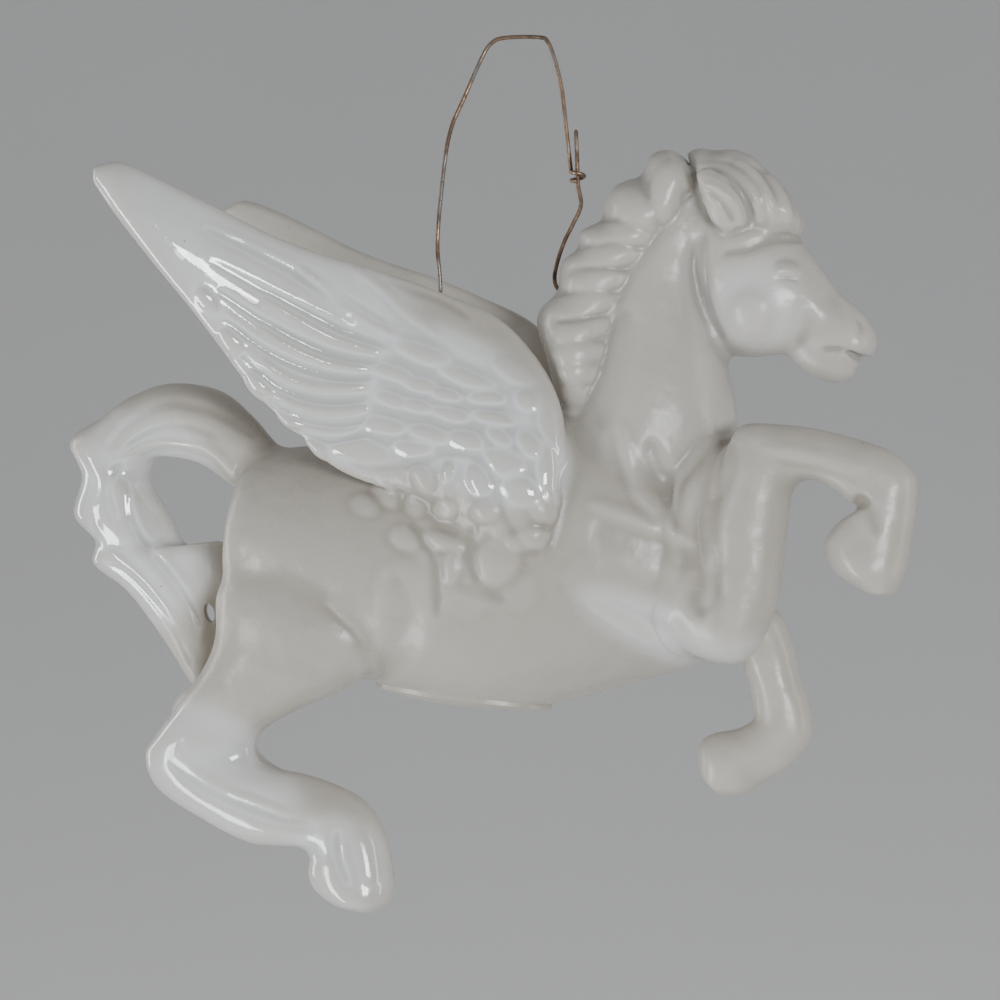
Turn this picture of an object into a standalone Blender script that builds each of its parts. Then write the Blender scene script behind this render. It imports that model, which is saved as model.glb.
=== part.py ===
"""A winged horse ornament of white glazed ceramic, hung by a loop of thin wire.

The horse faces +X and stands its length along X, +Z is up, and its right side is at -Y.
The origin is the underside of the top of the wire loop, where a hook carries it.
The body and neck are hollow; the wire runs in at the crest, through the body, and out at the back.
Each ceramic piece is a loft of oval sections, cut by the piece that carries it.
"""

import math

import bmesh
import bpy
from mathutils import Matrix, Vector
from mathutils.geometry import intersect_point_line

MM = 0.001

# The main sizes, in millimetres: tail to raised hoof, hook to lowest hoof, and across the body
FIGURE_LENGTH = 206.0
HANGING_HEIGHT = 204.0
BODY_WIDTH = 56.0

# The tables below are drawn at this length, height and width, and stretched to the main sizes
DRAWN = (206.0, 204.0, 56.0)
ALONG = FIGURE_LENGTH / DRAWN[0]
UP = HANGING_HEIGHT / DRAWN[1]
ACROSS = BODY_WIDTH / DRAWN[2]

# Walls, gaps and openings, in millimetres
WALL = 3.5
SEAM = 0.3
POUR_LENGTH = 36.0
POUR_WIDTH = 22.0
POUR_RIM_WALL = 2.5
POUR_RIM_PROUD = 1.0
POUR_CENTRE = (-12.0, -157.0)
POUR_TILT = math.radians(-8)

# Wire hanger, in millimetres: x and z of the loop's underside, then of the middle of the rest
WIRE = 1.0
WIRE_PLAY = 1.0
WIRE_LOOP = (
    (-18.0, -88.5), (-18.0, -60.0), (-18.7, -47.0), (-16.9, -28.5), (-15.2, -20.5),
    (-12.5, -14.5), (-8.0, -4.7), (-5.5, -1.1), (-2.0, 0.0), (6.0, -0.2),
    (8.0, -1.4), (9.6, -5.5), (11.3, -12.5), (12.2, -20.0), (12.9, -26.5),
)
WIRE_TIE = (
    (14.7, -21.7), (15.0, -28.8), (15.2, -34.5), (15.9, -39.4), (13.9, -44.0), (12.1, -47.5),
    (10.4, -52.2), (9.6, -56.7),
)
WIRE_INSIDE = (
    (16.0, -62.0), (20.5, -64.8), (24.0, -69.5), (26.0, -77.0), (25.0, -87.0), (19.0, -96.5),
    (8.0, -102.5), (-5.0, -104.5), (-14.0, -103.0), (-17.6, -99.5),
)
WRAP_START = (15.1, -31.5)
WRAP_LEAN = 0.05
WRAP_GAP = 0.5
WRAP_TURNS = 1.25
WRAP_PITCH = 2.0

# The wire leaves the body through its back at this x, and enters the crest at this notch of the mane
BACK_HOLE_X = -18.0
CREST_NOTCH = 5
CREST_BORE_LEAN = (0.91, -0.41)
CREST_BORE_LENGTH = 12.0
CREST_BORE_FLARE = 0.34
BORE_REACH = 6.0

# Sections: the two ends of an oval's long axis as x and z, its width, and the y of its middle
TRUNK = (
    (-66, -114, -66.5, -122, 12, 0),
    (-64, -99.5, -68, -135, 36, 0),
    (-55, -96, -59, -144.5, 47, 0),
    (-41.5, -95.5, -41.5, -148.5, 52, 0),
    (-28, -95, -26.5, -154.5, 54, 0),
    (-14.5, -93, -13, -158, 56, 0),
    (-2.5, -88.5, 1.5, -158, 56, 0),
    (8.5, -83, 16, -155, 54, 0),
    (20.5, -84, 31, -150.5, 50, 0),
    (33.5, -91, 43, -146.8, 44, 0),
    (43, -101.5, 50.5, -141, 34, 0),
    (48.5, -113, 53, -131.5, 18, 0),
)
NECK = (
    (12, -106, 40, -132, 36, 0),
    (7.5, -94.5, 44, -119, 41, 0),
    (10, -81.5, 49, -106, 41, 0),
    (11, -72, 52.5, -92.5, 38, 0),
    (14.5, -60.5, 50.5, -77, 32, 0),
    (22.5, -47.5, 47.5, -63.5, 27, 0),
    (33.5, -36, 48, -50.5, 23, 0),
    (40, -32, 50.5, -43, 18, 0),
)
HEAD = (
    (41.5, -33, 44, -57, 16, 0),
    (53, -33.5, 46.5, -69.5, 22, 0),
    (62, -41, 50, -74.5, 25, 0),
    (67, -47.7, 56, -75.5, 25, 0),
    (70.7, -52.7, 61.5, -75, 22, 0),
    (74, -57.7, 66, -75, 18, 0),
    (76.5, -61, 69, -76.5, 15.5, 0),
    (80, -63.5, 72.5, -79, 15.5, 0),
    (83, -67, 77, -79.5, 15, 0),
    (85, -71, 80, -77.5, 12, 0),
    (84.8, -74.5, 82.5, -76.5, 6, 0),
)
CHIN = (
    (68, -71.5, 65, -76, 9, 0),
    (73, -72, 70.5, -80, 11.5, 0),
    (78, -73.5, 76, -81.8, 11.5, 0),
    (80.8, -76.5, 79.8, -80.3, 7, 0),
)
NECK_HOLLOW_ROWS = 5
CHEEK_CENTRE = (58.0, -64.0)
CHEEK_RADIUS = 11.0
CHEEK_REACH = 14.0
MANE = (
    (13.5, -92, 19, -99, 9, 0),
    (11, -84, 22, -96, 31, 0),
    (9, -76, 25, -86, 42, 0),
    (6.5, -69, 28, -79.5, 42, 0),
    (6.5, -64.5, 29, -73, 39.5, 0),
    (11, -59.5, 30, -69, 36, 0),
    (11.8, -53.5, 31.5, -64, 34, 0),
    (15.5, -50, 33, -59.5, 32, 0),
    (16.3, -46, 35, -56.5, 31, 0),
    (21, -43.5, 37, -54, 29.5, 0),
    (22.5, -37.7, 39, -51.5, 28.5, 0),
    (27, -34, 41, -49, 28, 0),
    (30.5, -33, 42.5, -47, 27, 0),
    (32.8, -28.2, 44, -44.5, 26, 0),
    (37, -27, 45, -41, 25, 0),
    (39.5, -28.2, 45, -37, 17, 0),
)
FORELOCK = (
    (41, -28, 43.5, -33, 10, 0),
    (44, -26.8, 45.5, -40, 21, 0),
    (48, -27.5, 49, -44, 25, 0),
    (52, -27.3, 54, -46.5, 27, 0),
    (56.5, -29, 58.5, -48, 27.5, 0),
    (60, -32.5, 62, -48.5, 26.5, 0),
    (62.5, -35, 64.5, -48, 24.5, 0),
    (66.3, -39.5, 67, -47.5, 19, 0),
    (68.2, -44, 68.2, -47, 9, 0),
)
EAR = (
    (51, -48, 57.5, -45, 6, -10),
    (48.5, -43, 56.5, -40.5, 7, -13.5),
    (46, -37.5, 53, -35.5, 6.5, -14.5),
    (45, -34, 48, -33, 4, -14),
)
FORELEG_RAISED = (
    (33, -121, 33, -137, 17, -8),
    (43, -126, 45, -144, 19, -12.5),
    (49.5, -128, 57, -145, 18.5, -15),
    (48.5, -121, 64, -132.5, 16.5, -16),
    (48, -113, 66.5, -115, 16, -16.5),
    (49.5, -104, 67.5, -107.5, 16, -16.5),
    (53, -96, 69, -105, 15.5, -16.5),
    (56.5, -91.5, 71.5, -104, 15.5, -16.5),
    (65, -91.5, 74.5, -104.5, 14, -16.5),
    (73, -92.5, 77.5, -106.5, 13, -16.5),
    (81, -94.5, 80.5, -109, 13, -16.5),
    (89.5, -97.5, 82, -109.5, 13, -16.5),
    (95, -102.5, 82, -111, 13, -16.5),
    (95.5, -109, 78, -113.5, 13.5, -16.5),
    (94.5, -117, 75, -118, 15, -16.5),
    (93, -125, 77, -124.5, 16, -16.5),
    (90.5, -130, 84.5, -129.5, 11, -16.5),
)
FORELEG_LOWERED = (
    (30, -124, 30, -140, 15, 10),
    (42, -130, 42, -144.5, 17, 14),
    (53, -131.5, 49, -145.5, 15.5, 15.5),
    (60.5, -135, 52, -147, 13.5, 16),
    (63.5, -141.5, 52.5, -149, 12.5, 16.5),
    (65.3, -150, 53.5, -152.5, 12, 17),
    (67.8, -157, 54.5, -158.5, 12, 17),
    (68.3, -164.5, 54, -161, 12.5, 17),
    (64, -171, 50, -163, 13, 17),
    (57, -175.5, 45, -164, 14.5, 17),
    (52.5, -178.5, 41.5, -166.5, 15.5, 17),
    (47, -179, 41.5, -173, 12, 17),
)
HINDLEG_RIGHT = (
    (-61, -116, -30, -128, 28, -9),
    (-68.5, -129, -26, -144, 29, -12.5),
    (-69, -140.5, -36, -152, 25.5, -13.5),
    (-71.5, -148, -47, -157, 20.5, -15),
    (-77, -156, -55.5, -161.5, 17, -16),
    (-82.5, -163.5, -58.5, -165.5, 15.5, -17),
    (-85.5, -169, -57.5, -169.5, 14.5, -17),
    (-82.5, -176.5, -53, -171.5, 14, -17),
    (-72.5, -183, -46.5, -172.5, 13.5, -17),
    (-59.5, -189, -38.5, -175, 13.5, -17),
    (-48, -189.5, -32, -178.5, 14, -17),
    (-45, -192, -28, -184, 15, -17),
    (-45.5, -195, -26, -190, 16.5, -17),
    (-44, -199, -25, -197, 17.5, -17),
    (-39, -202.5, -25.5, -201.5, 16.5, -17),
    (-33.5, -204, -28, -204, 9, -17),
)
HINDLEG_LEFT = (
    (-61, -116, -30, -128, 28, 11),
    (-69.5, -129, -28, -143.5, 29, 14.5),
    (-72, -140, -41, -151, 25, 15.5),
    (-77.5, -146, -57, -156, 20, 17),
    (-84.5, -152.5, -66.5, -160.5, 16.5, 18),
    (-90, -158, -71, -165, 15, 19),
    (-91, -164, -69, -170.5, 14, 19),
    (-86.5, -171.5, -65, -174, 13.5, 19),
    (-77, -179.5, -58, -177, 13, 19),
    (-66, -186.5, -49, -180.5, 13, 19),
    (-57, -190.5, -43, -184.5, 13.5, 19),
    (-53.5, -193.5, -39, -188.5, 14.5, 19),
    (-53.5, -197, -37, -194, 16, 19),
    (-52.5, -200.5, -36, -199, 17, 19),
    (-48, -203, -38, -202.5, 13, 19),
)
TAIL = (
    (-49, -100, -59, -114, 18, 0),
    (-58, -95.5, -66, -107.5, 18.5, 0),
    (-65, -88, -71, -104, 18.5, 0),
    (-73, -82, -77, -100, 18.5, 0),
    (-85, -80.3, -84.5, -98.2, 18.5, 0),
    (-95, -83.5, -88.5, -98.5, 18.5, 0),
    (-102.5, -88.5, -90.5, -101, 18.5, 0),
    (-110.5, -94, -90.5, -104.5, 17.5, 0),
    (-107.3, -102.5, -88, -108.5, 17.5, 0),
    (-109.6, -112, -84.8, -113, 17, 0),
    (-104, -118.5, -81, -119.5, 16, 0),
    (-104.5, -124, -71.5, -118.5, 15, -1),
    (-96, -130, -68.5, -125.5, 13, -2),
    (-90, -137, -72.5, -134, 10.5, -2),
    (-84.5, -144.5, -73, -143.5, 9, -2),
    (-79, -153, -75.5, -151.5, 5, -2),
)
# A wing's sections also take the y of the lower end: it leans away from the horse
WING = (
    (13.5, -118.5, 8.5, -122.5, 5, -25, -26),
    (16, -108.5, 3, -119.5, 9.5, -23.5, -26.5),
    (17, -97, -3.5, -115, 12, -22.5, -26.5),
    (15, -86, -12, -110.5, 12.5, -21, -25.5),
    (9.5, -76, -20.5, -107, 12.5, -19.5, -24),
    (0, -66.5, -30, -104.5, 12, -18.5, -23.5),
    (-13.5, -60.5, -38, -100.5, 11, -19, -25),
    (-26, -56, -45, -93, 10, -22, -28.5),
    (-38, -52.5, -53.5, -84.5, 9.5, -26.5, -33),
    (-49.5, -48, -61, -73.5, 9, -31.5, -37),
    (-61, -42, -67, -64.5, 8.5, -36.5, -41),
    (-72.5, -36, -73.5, -55.5, 8, -41.5, -45),
    (-81.5, -32, -82, -44, 7, -46, -48),
    (-87, -33, -87, -36.5, 4, -48.5, -49),
)
# share * share * (1 - share) is highest, at this value, where share is two thirds
LIFT_PEAK = 4 / 27
LEFT_WING_RISE = 3.0
LEFT_WING_LEAN = 1.5

# Steps from one row of a table to the next, and points round each kind of section
LONG_STEP = 2
WING_STEP = 3
HEAD_STEP = 1
WIRE_STEP = 2
POINTS = {
    "trunk": 24, "neck": 20, "limb": 14, "wing": 40, "ear": 10, "hair": 16, "bore": 16, "wrap": 12,
}

# A round cutter starts half a step round, so that none of its corners meets the body's middle line
HALF = 0.5

# Broad relief on the wings: its height and radius, then the x and z of points along its middle.
# Long feathers are pressed into both faces, and rows of short ones stand on the outer face
LONG_FEATHERS = (
    (-1.0, 3.2, (-69.5, -39.5), (-51, -50), (-32.5, -63), (-24, -68.5)),
    (-1.1, 3.2, (-70.5, -49.5), (-53.5, -64), (-35.5, -74.5), (-26, -77)),
    (-1.2, 3.2, (-63, -65), (-51.5, -79), (-38, -85), (-29, -85)),
    (-1.1, 3.2, (-47, -91), (-36.5, -94.5), (-28.5, -92.5)),
)
SHORT_FEATHERS = (
    (1.3, 4.2, (-21, -73), (-15, -75), (-5, -80.5), (6, -84.5)),
    (1.2, 3.6, (-26, -88.5), (-16.5, -90.5), (-8, -91), (3.5, -93.5)),
    (1.2, 3.4, (-35.5, -96), (-20.5, -96.5), (-8.5, -96), (0, -98.5)),
    (1.2, 4.2, (11.5, -86), (13.5, -98.5), (11, -106), (13.5, -115.5)),
)

# The muscle of each shoulder, a stretched ball that stands a little out of the body
SHOULDER = (33.0, 18.6, -119.0)
SHOULDER_RADII = (15.0, 6.6, 13.0)

# Glaze and metal colours
COLOURS = {
    "trunk_shell": (0.60, 0.58, 0.54),
    "neck_and_head": (0.66, 0.64, 0.60),
    "mane": (0.70, 0.66, 0.62),
    "forelock": (0.70, 0.68, 0.64),
    "ear_right": (0.68, 0.67, 0.62),
    "ear_left": (0.68, 0.67, 0.62),
    "wing_right": (0.72, 0.76, 0.78),
    "wing_left": (0.72, 0.76, 0.78),
    "foreleg_right": (0.58, 0.57, 0.55),
    "foreleg_left": (0.58, 0.57, 0.55),
    "hindleg_right": (0.60, 0.58, 0.55),
    "hindleg_left": (0.60, 0.58, 0.55),
    "tail": (0.64, 0.64, 0.62),
}
GLAZE_ROUGHNESS = 0.12
WIRE_COLOUR = (0.36, 0.22, 0.14)
WIRE_ROUGHNESS = 0.45


def clear_scene():
    for obj in list(bpy.data.objects):
        bpy.data.objects.remove(obj)


def new_collection(name, shown):
    collection = bpy.data.collections.new(name)
    collection.hide_render = not shown
    bpy.context.scene.collection.children.link(collection)
    return collection


def new_material(name, colour, roughness, metallic):
    material = bpy.data.materials.new(name)
    material.use_nodes = True
    shader = material.node_tree.nodes["Principled BSDF"]
    shader.inputs["Base Color"].default_value = (*colour, 1)
    shader.inputs["Roughness"].default_value = roughness
    shader.inputs["Metallic"].default_value = metallic
    return material


def new_object(name, mesh, collection):
    """An object of a closed bmesh, its faces turned out. Cutters stay hidden in their collection."""
    if mesh.calc_volume(signed=True) < 0:
        bmesh.ops.reverse_faces(mesh, faces=mesh.faces)
    data = bpy.data.meshes.new(name)
    mesh.to_mesh(data)
    mesh.free()
    obj = bpy.data.objects.new(name, data)
    obj.hide_render = collection.hide_render
    if obj.hide_render:
        obj.display_type = "WIRE"
    collection.objects.link(obj)
    return obj


def add_boolean(obj, other, operation):
    modifier = obj.modifiers.new(f"{operation.lower()} {other.name}", "BOOLEAN")
    modifier.solver = "EXACT"
    modifier.operation = operation
    modifier.object = other


def stretched(rows):
    """Rows of a table, stretched to the main sizes."""
    by = (ALONG, UP, ALONG, UP, ACROSS, ACROSS, ACROSS)
    return [tuple(value * factor for value, factor in zip(row, by)) for row in rows]


def eased(before, near, far, after, t):
    """A smooth value from near to far, as t goes from 0 to 1."""
    slope_in, slope_out = (far - before) / 2, (after - near) / 2
    bend = 3 * (far - near) - 2 * slope_in - slope_out
    twist = slope_in + slope_out - 2 * (far - near)
    return near + t * (slope_in + t * (bend + t * twist))


def between(rows, steps):
    """The rows, with smooth ones set between each two."""
    last = len(rows) - 1
    made = []
    for i in range(last):
        four = [rows[min(max(i + k, 0), last)] for k in (-1, 0, 1, 2)]
        for step in range(steps):
            made.append([eased(*values, step / steps) for values in zip(*four)])
    return made + [list(rows[-1])]


def height_at(rows, x):
    """The height of a loft's upper line at this x."""
    line = [row[:2] for row in between(stretched(rows), LONG_STEP)]
    for (x1, z1), (x2, z2) in zip(line, line[1:]):
        if x1 <= x <= x2:
            return z1 + (z2 - z1) * (x - x1) / (x2 - x1)
    raise ValueError(f"no section reaches x = {x}")


def wire_holes():
    """The middles of the back hole and of the crest hole's mouth. The figure swings on their line."""
    back = BACK_HOLE_X * ALONG
    return (back, height_at(TRUNK, back) - WALL / 2), stretched(MANE)[CREST_NOTCH][:2]


def mirrored(rows, rise=0, lean=0):
    """Sections for the other side, leaning further out and raised most two thirds of the way along."""
    made = []
    for i, row in enumerate(rows):
        share = i / (len(rows) - 1)
        lift = rise * (share**2 * (1 - share) / LIFT_PEAK) ** 2
        x1, z1, x2, z2, width = row[:5]
        made.append((x1, z1 + lift, x2, z2 + lift, width, *(lean - y for y in row[5:])))
    return made


def ends_of(row):
    x1, z1, x2, z2, _, y1 = row[:6]
    return Vector((x1, y1, z1)), Vector((x2, row[-1], z2))


def lift_at(x, z, relief):
    """How far this relief lifts a wing's face here. It fades from its middle line to its radius."""
    total = 0
    for height, radius, *line in relief:
        line = [Vector((*point, 0)) for point in stretched(line)]
        spot = Vector((x, z, 0))
        away = radius
        for start, end in zip(line, line[1:]):
            share = intersect_point_line(spot, start, end)[1]
            nearest = start.lerp(end, min(max(share, 0), 1))
            away = min(away, (spot - nearest).length)
        total += height * (1 - (away / radius) ** 2) ** 2
    return total


def oval(row, count, across, grow, feathered):
    """Points round one section. A feathered one has the wings' relief."""
    top, bottom = ends_of(row)
    middle = (top + bottom) / 2
    half = (top - bottom) / 2
    half *= 1 + grow / half.length
    points = []
    for i in range(count):
        angle = math.tau * i / count
        along, out = math.cos(angle), math.sin(angle)
        place = middle + half * along + across * out * (row[4] / 2 + grow)
        if feathered:
            relief = LONG_FEATHERS + SHORT_FEATHERS if out > 0 else LONG_FEATHERS
            place += across * out * lift_at(place.x, place.z, relief)
        points.append(place * MM)
    return points


def sections(rows, count, steps=LONG_STEP, grow=0, wing=False):
    """The rings of a loft. A wing's are square to its own face, and feathered."""
    rows = between(stretched(rows), steps)
    rings = []
    for i, row in enumerate(rows):
        across = Vector((0, 1, 0))
        if wing:
            top, bottom = ends_of(row)
            near, far = ends_of(rows[max(i - 1, 0)]), ends_of(rows[min(i + 1, len(rows) - 1)])
            run = (far[0] + far[1]) - (near[0] + near[1])
            across = (top - bottom).cross(run).normalized()
            across *= -1 if across.y * top.y < 0 else 1
        rings.append(oval(row, count, across, grow, wing))
    return rings


def loft(name, rings, collection):
    """One closed body through rings of equal count."""
    mesh = bmesh.new()
    loops = [[mesh.verts.new(point) for point in ring] for ring in rings]
    for near, far in zip(loops, loops[1:]):
        for i in range(len(near)):
            mesh.faces.new((near[i - 1], near[i], far[i], far[i - 1]))
    mesh.faces.new(reversed(loops[0]))
    mesh.faces.new(loops[-1])
    return new_object(name, mesh, collection)


def grown(obj, by, collection):
    """A copy with its surface moved out by this many millimetres."""
    mesh = bmesh.new()
    mesh.from_mesh(obj.data)
    mesh.normal_update()
    moves = [(vert, vert.normal.copy()) for vert in mesh.verts]
    for vert, normal in moves:
        vert.co += normal * by * MM
    return new_object(f"{obj.name}_grown", mesh, collection)


def bore(name, start, lean, stops, collection):
    """A round cutter along lean. Each stop is a distance from the start and a radius there."""
    lean = Vector((lean[0], 0, lean[1])).normalized()
    side = lean.cross(Vector((0, 1, 0)))
    rings = []
    for reach, radius in stops:
        middle = Vector((start[0], 0, start[1])) + lean * reach
        turns = [math.tau * (i + HALF) / POINTS["bore"] for i in range(POINTS["bore"])]
        ring = [side * math.cos(turn) + Vector((0, math.sin(turn), 0)) for turn in turns]
        rings.append([(middle + point * radius) * MM for point in ring])
    return loft(name, rings, collection)


def oval_plug(name, length, width, collection):
    """An upright oval cutter through the belly, tilted to its slope."""
    mesh = bmesh.new()
    tall = 4 * (WALL + POUR_RIM_PROUD)
    segments = 2 * POINTS["bore"]
    bmesh.ops.create_cone(
        mesh,
        cap_ends=True,
        segments=segments,
        radius1=MM / 2,
        radius2=MM / 2,
        depth=tall * MM,
    )
    step = Matrix.Rotation(math.tau * HALF / segments, 4, "Z")
    bmesh.ops.transform(mesh, matrix=step, verts=mesh.verts)
    bmesh.ops.scale(mesh, vec=(length, width, 1), verts=mesh.verts)
    turn = Matrix.Rotation(POUR_TILT, 4, "Y")
    bmesh.ops.transform(mesh, matrix=turn, verts=mesh.verts)
    x, z = stretched([POUR_CENTRE])[0]
    move = Vector((x, 0, z)) * MM
    bmesh.ops.translate(mesh, vec=move, verts=mesh.verts)
    return new_object(name, mesh, collection)


def ball(name, centre, radii, collection):
    """A sphere stretched to these three radii."""
    mesh = bmesh.new()
    bmesh.ops.create_uvsphere(mesh, u_segments=16, v_segments=10, radius=MM)
    bmesh.ops.scale(mesh, vec=radii, verts=mesh.verts)
    bmesh.ops.translate(mesh, vec=Vector(centre) * MM, verts=mesh.verts)
    return new_object(name, mesh, collection)


def trunk(parts, cutters):
    """The hollow body, with its pour opening, its way into the neck and its wire hole."""
    body = loft("trunk_shell", sections(TRUNK, POINTS["trunk"]), parts)
    outside = grown(body, SEAM, cutters)
    rim = grown(body, POUR_RIM_PROUD, cutters)
    rim.name = "pour_rim"
    around = 2 * POUR_RIM_WALL
    plug = oval_plug("pour_rim_outline", POUR_LENGTH + around, POUR_WIDTH + around, cutters)
    add_boolean(rim, plug, "INTERSECT")
    add_boolean(body, rim, "UNION")
    x, z = stretched([SHOULDER[::2]])[0]
    radii = [size * stretch for size, stretch in zip(SHOULDER_RADII, (ALONG, ACROSS, UP))]
    for side, name in ((-1, "shoulder_right"), (1, "shoulder_left")):
        shoulder = ball(name, (x, side * SHOULDER[1] * ACROSS, z), radii, cutters)
        add_boolean(body, shoulder, "UNION")
        add_boolean(outside, grown(shoulder, SEAM, cutters), "UNION")
    hollow = loft("trunk_hollow", sections(TRUNK[1:-1], POINTS["trunk"], grow=-WALL), cutters)
    add_boolean(body, hollow, "DIFFERENCE")
    add_boolean(body, oval_plug("pour_opening", POUR_LENGTH, POUR_WIDTH, cutters), "DIFFERENCE")
    back_hole, _ = wire_holes()
    radius = WIRE / 2 + WIRE_PLAY
    stops = ((-BORE_REACH, radius), (BORE_REACH, radius))
    add_boolean(body, bore("back_bore", back_hole, (0, 1), stops, cutters), "DIFFERENCE")
    return body, outside


def neck_and_head(parts, cutters, trunk_body, trunk_outside):
    """The neck, hollow up to the crest hole, and the head. The way into the body cuts both."""
    neck = loft("neck_and_head", sections(NECK, POINTS["neck"]), parts)
    neck_outside = grown(neck, SEAM, cutters)
    head = loft("head", sections(HEAD, POINTS["neck"], HEAD_STEP), cutters)
    chin = loft("chin", sections(CHIN, POINTS["limb"], HEAD_STEP), cutters)
    x, z = stretched([CHEEK_CENTRE])[0]
    radii = (CHEEK_RADIUS * ALONG, CHEEK_REACH * ACROSS, CHEEK_RADIUS * UP)
    cheek = ball("cheek", (x, 0, z), radii, cutters)
    add_boolean(neck_outside, grown(head, SEAM, cutters), "UNION")
    for piece in (head, chin, cheek):
        add_boolean(neck, piece, "UNION")
    rings = sections(NECK[:NECK_HOLLOW_ROWS], POINTS["neck"], grow=-WALL)
    into_body = [point + (point - above) for point, above in zip(rings[0], rings[1])]
    hollow = loft("neck_hollow", [into_body, *rings], cutters)
    add_boolean(neck, hollow, "DIFFERENCE")
    add_boolean(trunk_body, hollow, "DIFFERENCE")
    _, crest_hole = wire_holes()
    mouth, flare = WIRE / 2 + WIRE_PLAY, CREST_BORE_FLARE * CREST_BORE_LENGTH
    stops = ((-BORE_REACH, mouth), (0, mouth), (CREST_BORE_LENGTH, mouth + flare))
    crest_bore = bore("crest_bore", crest_hole, CREST_BORE_LEAN, stops, cutters)
    add_boolean(neck, crest_bore, "DIFFERENCE")
    add_boolean(neck, trunk_outside, "DIFFERENCE")
    return neck_outside, crest_bore


def carve(obj, cutting):
    """Cuts the grown shapes of the pieces that carry this one out of it."""
    for cutter in cutting:
        add_boolean(obj, cutter, "DIFFERENCE")


def wire_path():
    """The wire's middle line, from its free end through the figure and round the loop."""
    back_hole, crest_hole = wire_holes()
    loop = [(x, z + WIRE / 2) for x, z in stretched(WIRE_LOOP)]
    line = [*stretched(WIRE_TIE), crest_hole, *stretched(WIRE_INSIDE), back_hole, *loop]
    points = [Vector((x, 0, z)) for x, z in between(line, WIRE_STEP)]
    return points + wrap_path()


def wrap_path():
    """The hook that ends the loop, wound round the tie strand."""
    radius = WIRE + WRAP_GAP
    x, z = stretched([WRAP_START])[0]
    points = []
    for i in range(round(WRAP_TURNS * POINTS["wrap"]) + 1):
        angle = math.pi + math.tau * i / POINTS["wrap"]
        drop = WRAP_PITCH * i / POINTS["wrap"]
        round_tie = Vector((radius * math.cos(angle), radius * math.sin(angle), 0))
        points.append(Vector((x + WRAP_LEAN * drop, 0, z - drop)) + round_tie)
    return points


def hanger(parts, pivot):
    """One stiff wire, a curve with its origin on the line that the figure swings on."""
    curve = bpy.data.curves.new("hanger_wire", "CURVE")
    curve.dimensions = "3D"
    curve.bevel_depth = WIRE / 2 * MM
    curve.bevel_resolution = 2
    curve.use_fill_caps = True
    path = wire_path()
    spline = curve.splines.new("POLY")
    spline.points.add(len(path) - 1)
    for point, place in zip(spline.points, path):
        point.co = (*(place * MM - pivot.location), 1)
    obj = bpy.data.objects.new("hanger_wire", curve)
    obj.location = pivot.location
    parts.objects.link(obj)
    obj.data.materials.append(new_material("hanger_wire_metal", WIRE_COLOUR, WIRE_ROUGHNESS, 1.0))


def swing_pivot(parts):
    """An empty on the line through the two wire holes. It carries every ceramic piece."""
    pivot = bpy.data.objects.new("hanger_swing", None)
    x, z = wire_holes()[0]
    pivot.location = Vector((x, 0, z)) * MM
    pieces = list(parts.objects)
    parts.objects.link(pivot)
    for piece in pieces:
        piece.parent = pivot
        piece.matrix_parent_inverse = Matrix.Translation(-pivot.location)
    return pivot


def hair_and_ears(parts, cutters, body_outside, neck_outside, crest_bore):
    """The mane on the crest, the forelock in front of it, and the ears on the forelock."""
    mane = loft("mane", sections(MANE, POINTS["hair"]), parts)
    mane_outside = grown(mane, SEAM, cutters)
    carve(mane, [body_outside, neck_outside, crest_bore])
    forelock = loft("forelock", sections(FORELOCK, POINTS["hair"]), parts)
    forelock_outside = grown(forelock, SEAM, cutters)
    carve(forelock, [neck_outside, mane_outside])
    for name, rows in (("ear_right", EAR), ("ear_left", mirrored(EAR))):
        ear = loft(name, sections(rows, POINTS["ear"]), parts)
        carve(ear, [neck_outside, forelock_outside])
    return mane_outside


def legs_and_tail(parts, cutters, body_outside, neck_outside):
    """The four legs, then the tail, which curls round to touch the right thigh."""
    limbs = (
        ("foreleg_right", FORELEG_RAISED, [body_outside, neck_outside]),
        ("foreleg_left", FORELEG_LOWERED, [body_outside]),
        ("hindleg_right", HINDLEG_RIGHT, [body_outside]),
        ("hindleg_left", HINDLEG_LEFT, [body_outside]),
    )
    for name, rows, cutting in limbs:
        carve(loft(name, sections(rows, POINTS["limb"]), parts), cutting)
    tail = loft("tail", sections(TAIL, POINTS["limb"]), parts)
    thigh_outside = grown(bpy.data.objects["hindleg_right"], SEAM, cutters)
    carve(tail, [body_outside, thigh_outside])


def wings(parts, cutting):
    """Both wings, raised and leaning out from the shoulders."""
    left = mirrored(WING, LEFT_WING_RISE, LEFT_WING_LEAN)
    for name, rows in (("wing_right", WING), ("wing_left", left)):
        rings = sections(rows, POINTS["wing"], WING_STEP, wing=True)
        carve(loft(name, rings, parts), cutting)


def main():
    clear_scene()
    parts = new_collection("winged_horse_ornament", True)
    cutters = new_collection("cutters", False)
    body, body_outside = trunk(parts, cutters)
    neck_outside, crest_bore = neck_and_head(parts, cutters, body, body_outside)
    mane_outside = hair_and_ears(parts, cutters, body_outside, neck_outside, crest_bore)
    legs_and_tail(parts, cutters, body_outside, neck_outside)
    wings(parts, [body_outside, neck_outside, mane_outside])
    for name, colour in COLOURS.items():
        glaze = new_material(f"{name}_glaze", colour, GLAZE_ROUGHNESS, 0.0)
        bpy.data.objects[name].data.materials.append(glaze)
    hanger(parts, swing_pivot(parts))


main()
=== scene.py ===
"""A winged horse of white glazed ceramic, hung by a loop of worn copper wire.

The figure is modelled in three steps. Ovals bridged into lofts are joined and blended into one clay
body, the folds, feathers and locks are pressed into it, and the clay is cut into its named pieces.
Lengths are in millimetres until a piece is finished, and the horse faces +X with its right side at -Y.
"""

import math

import bmesh
import bpy
import numpy as np
from mathutils import Matrix, Vector
from mathutils.bvhtree import BVHTree


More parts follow.
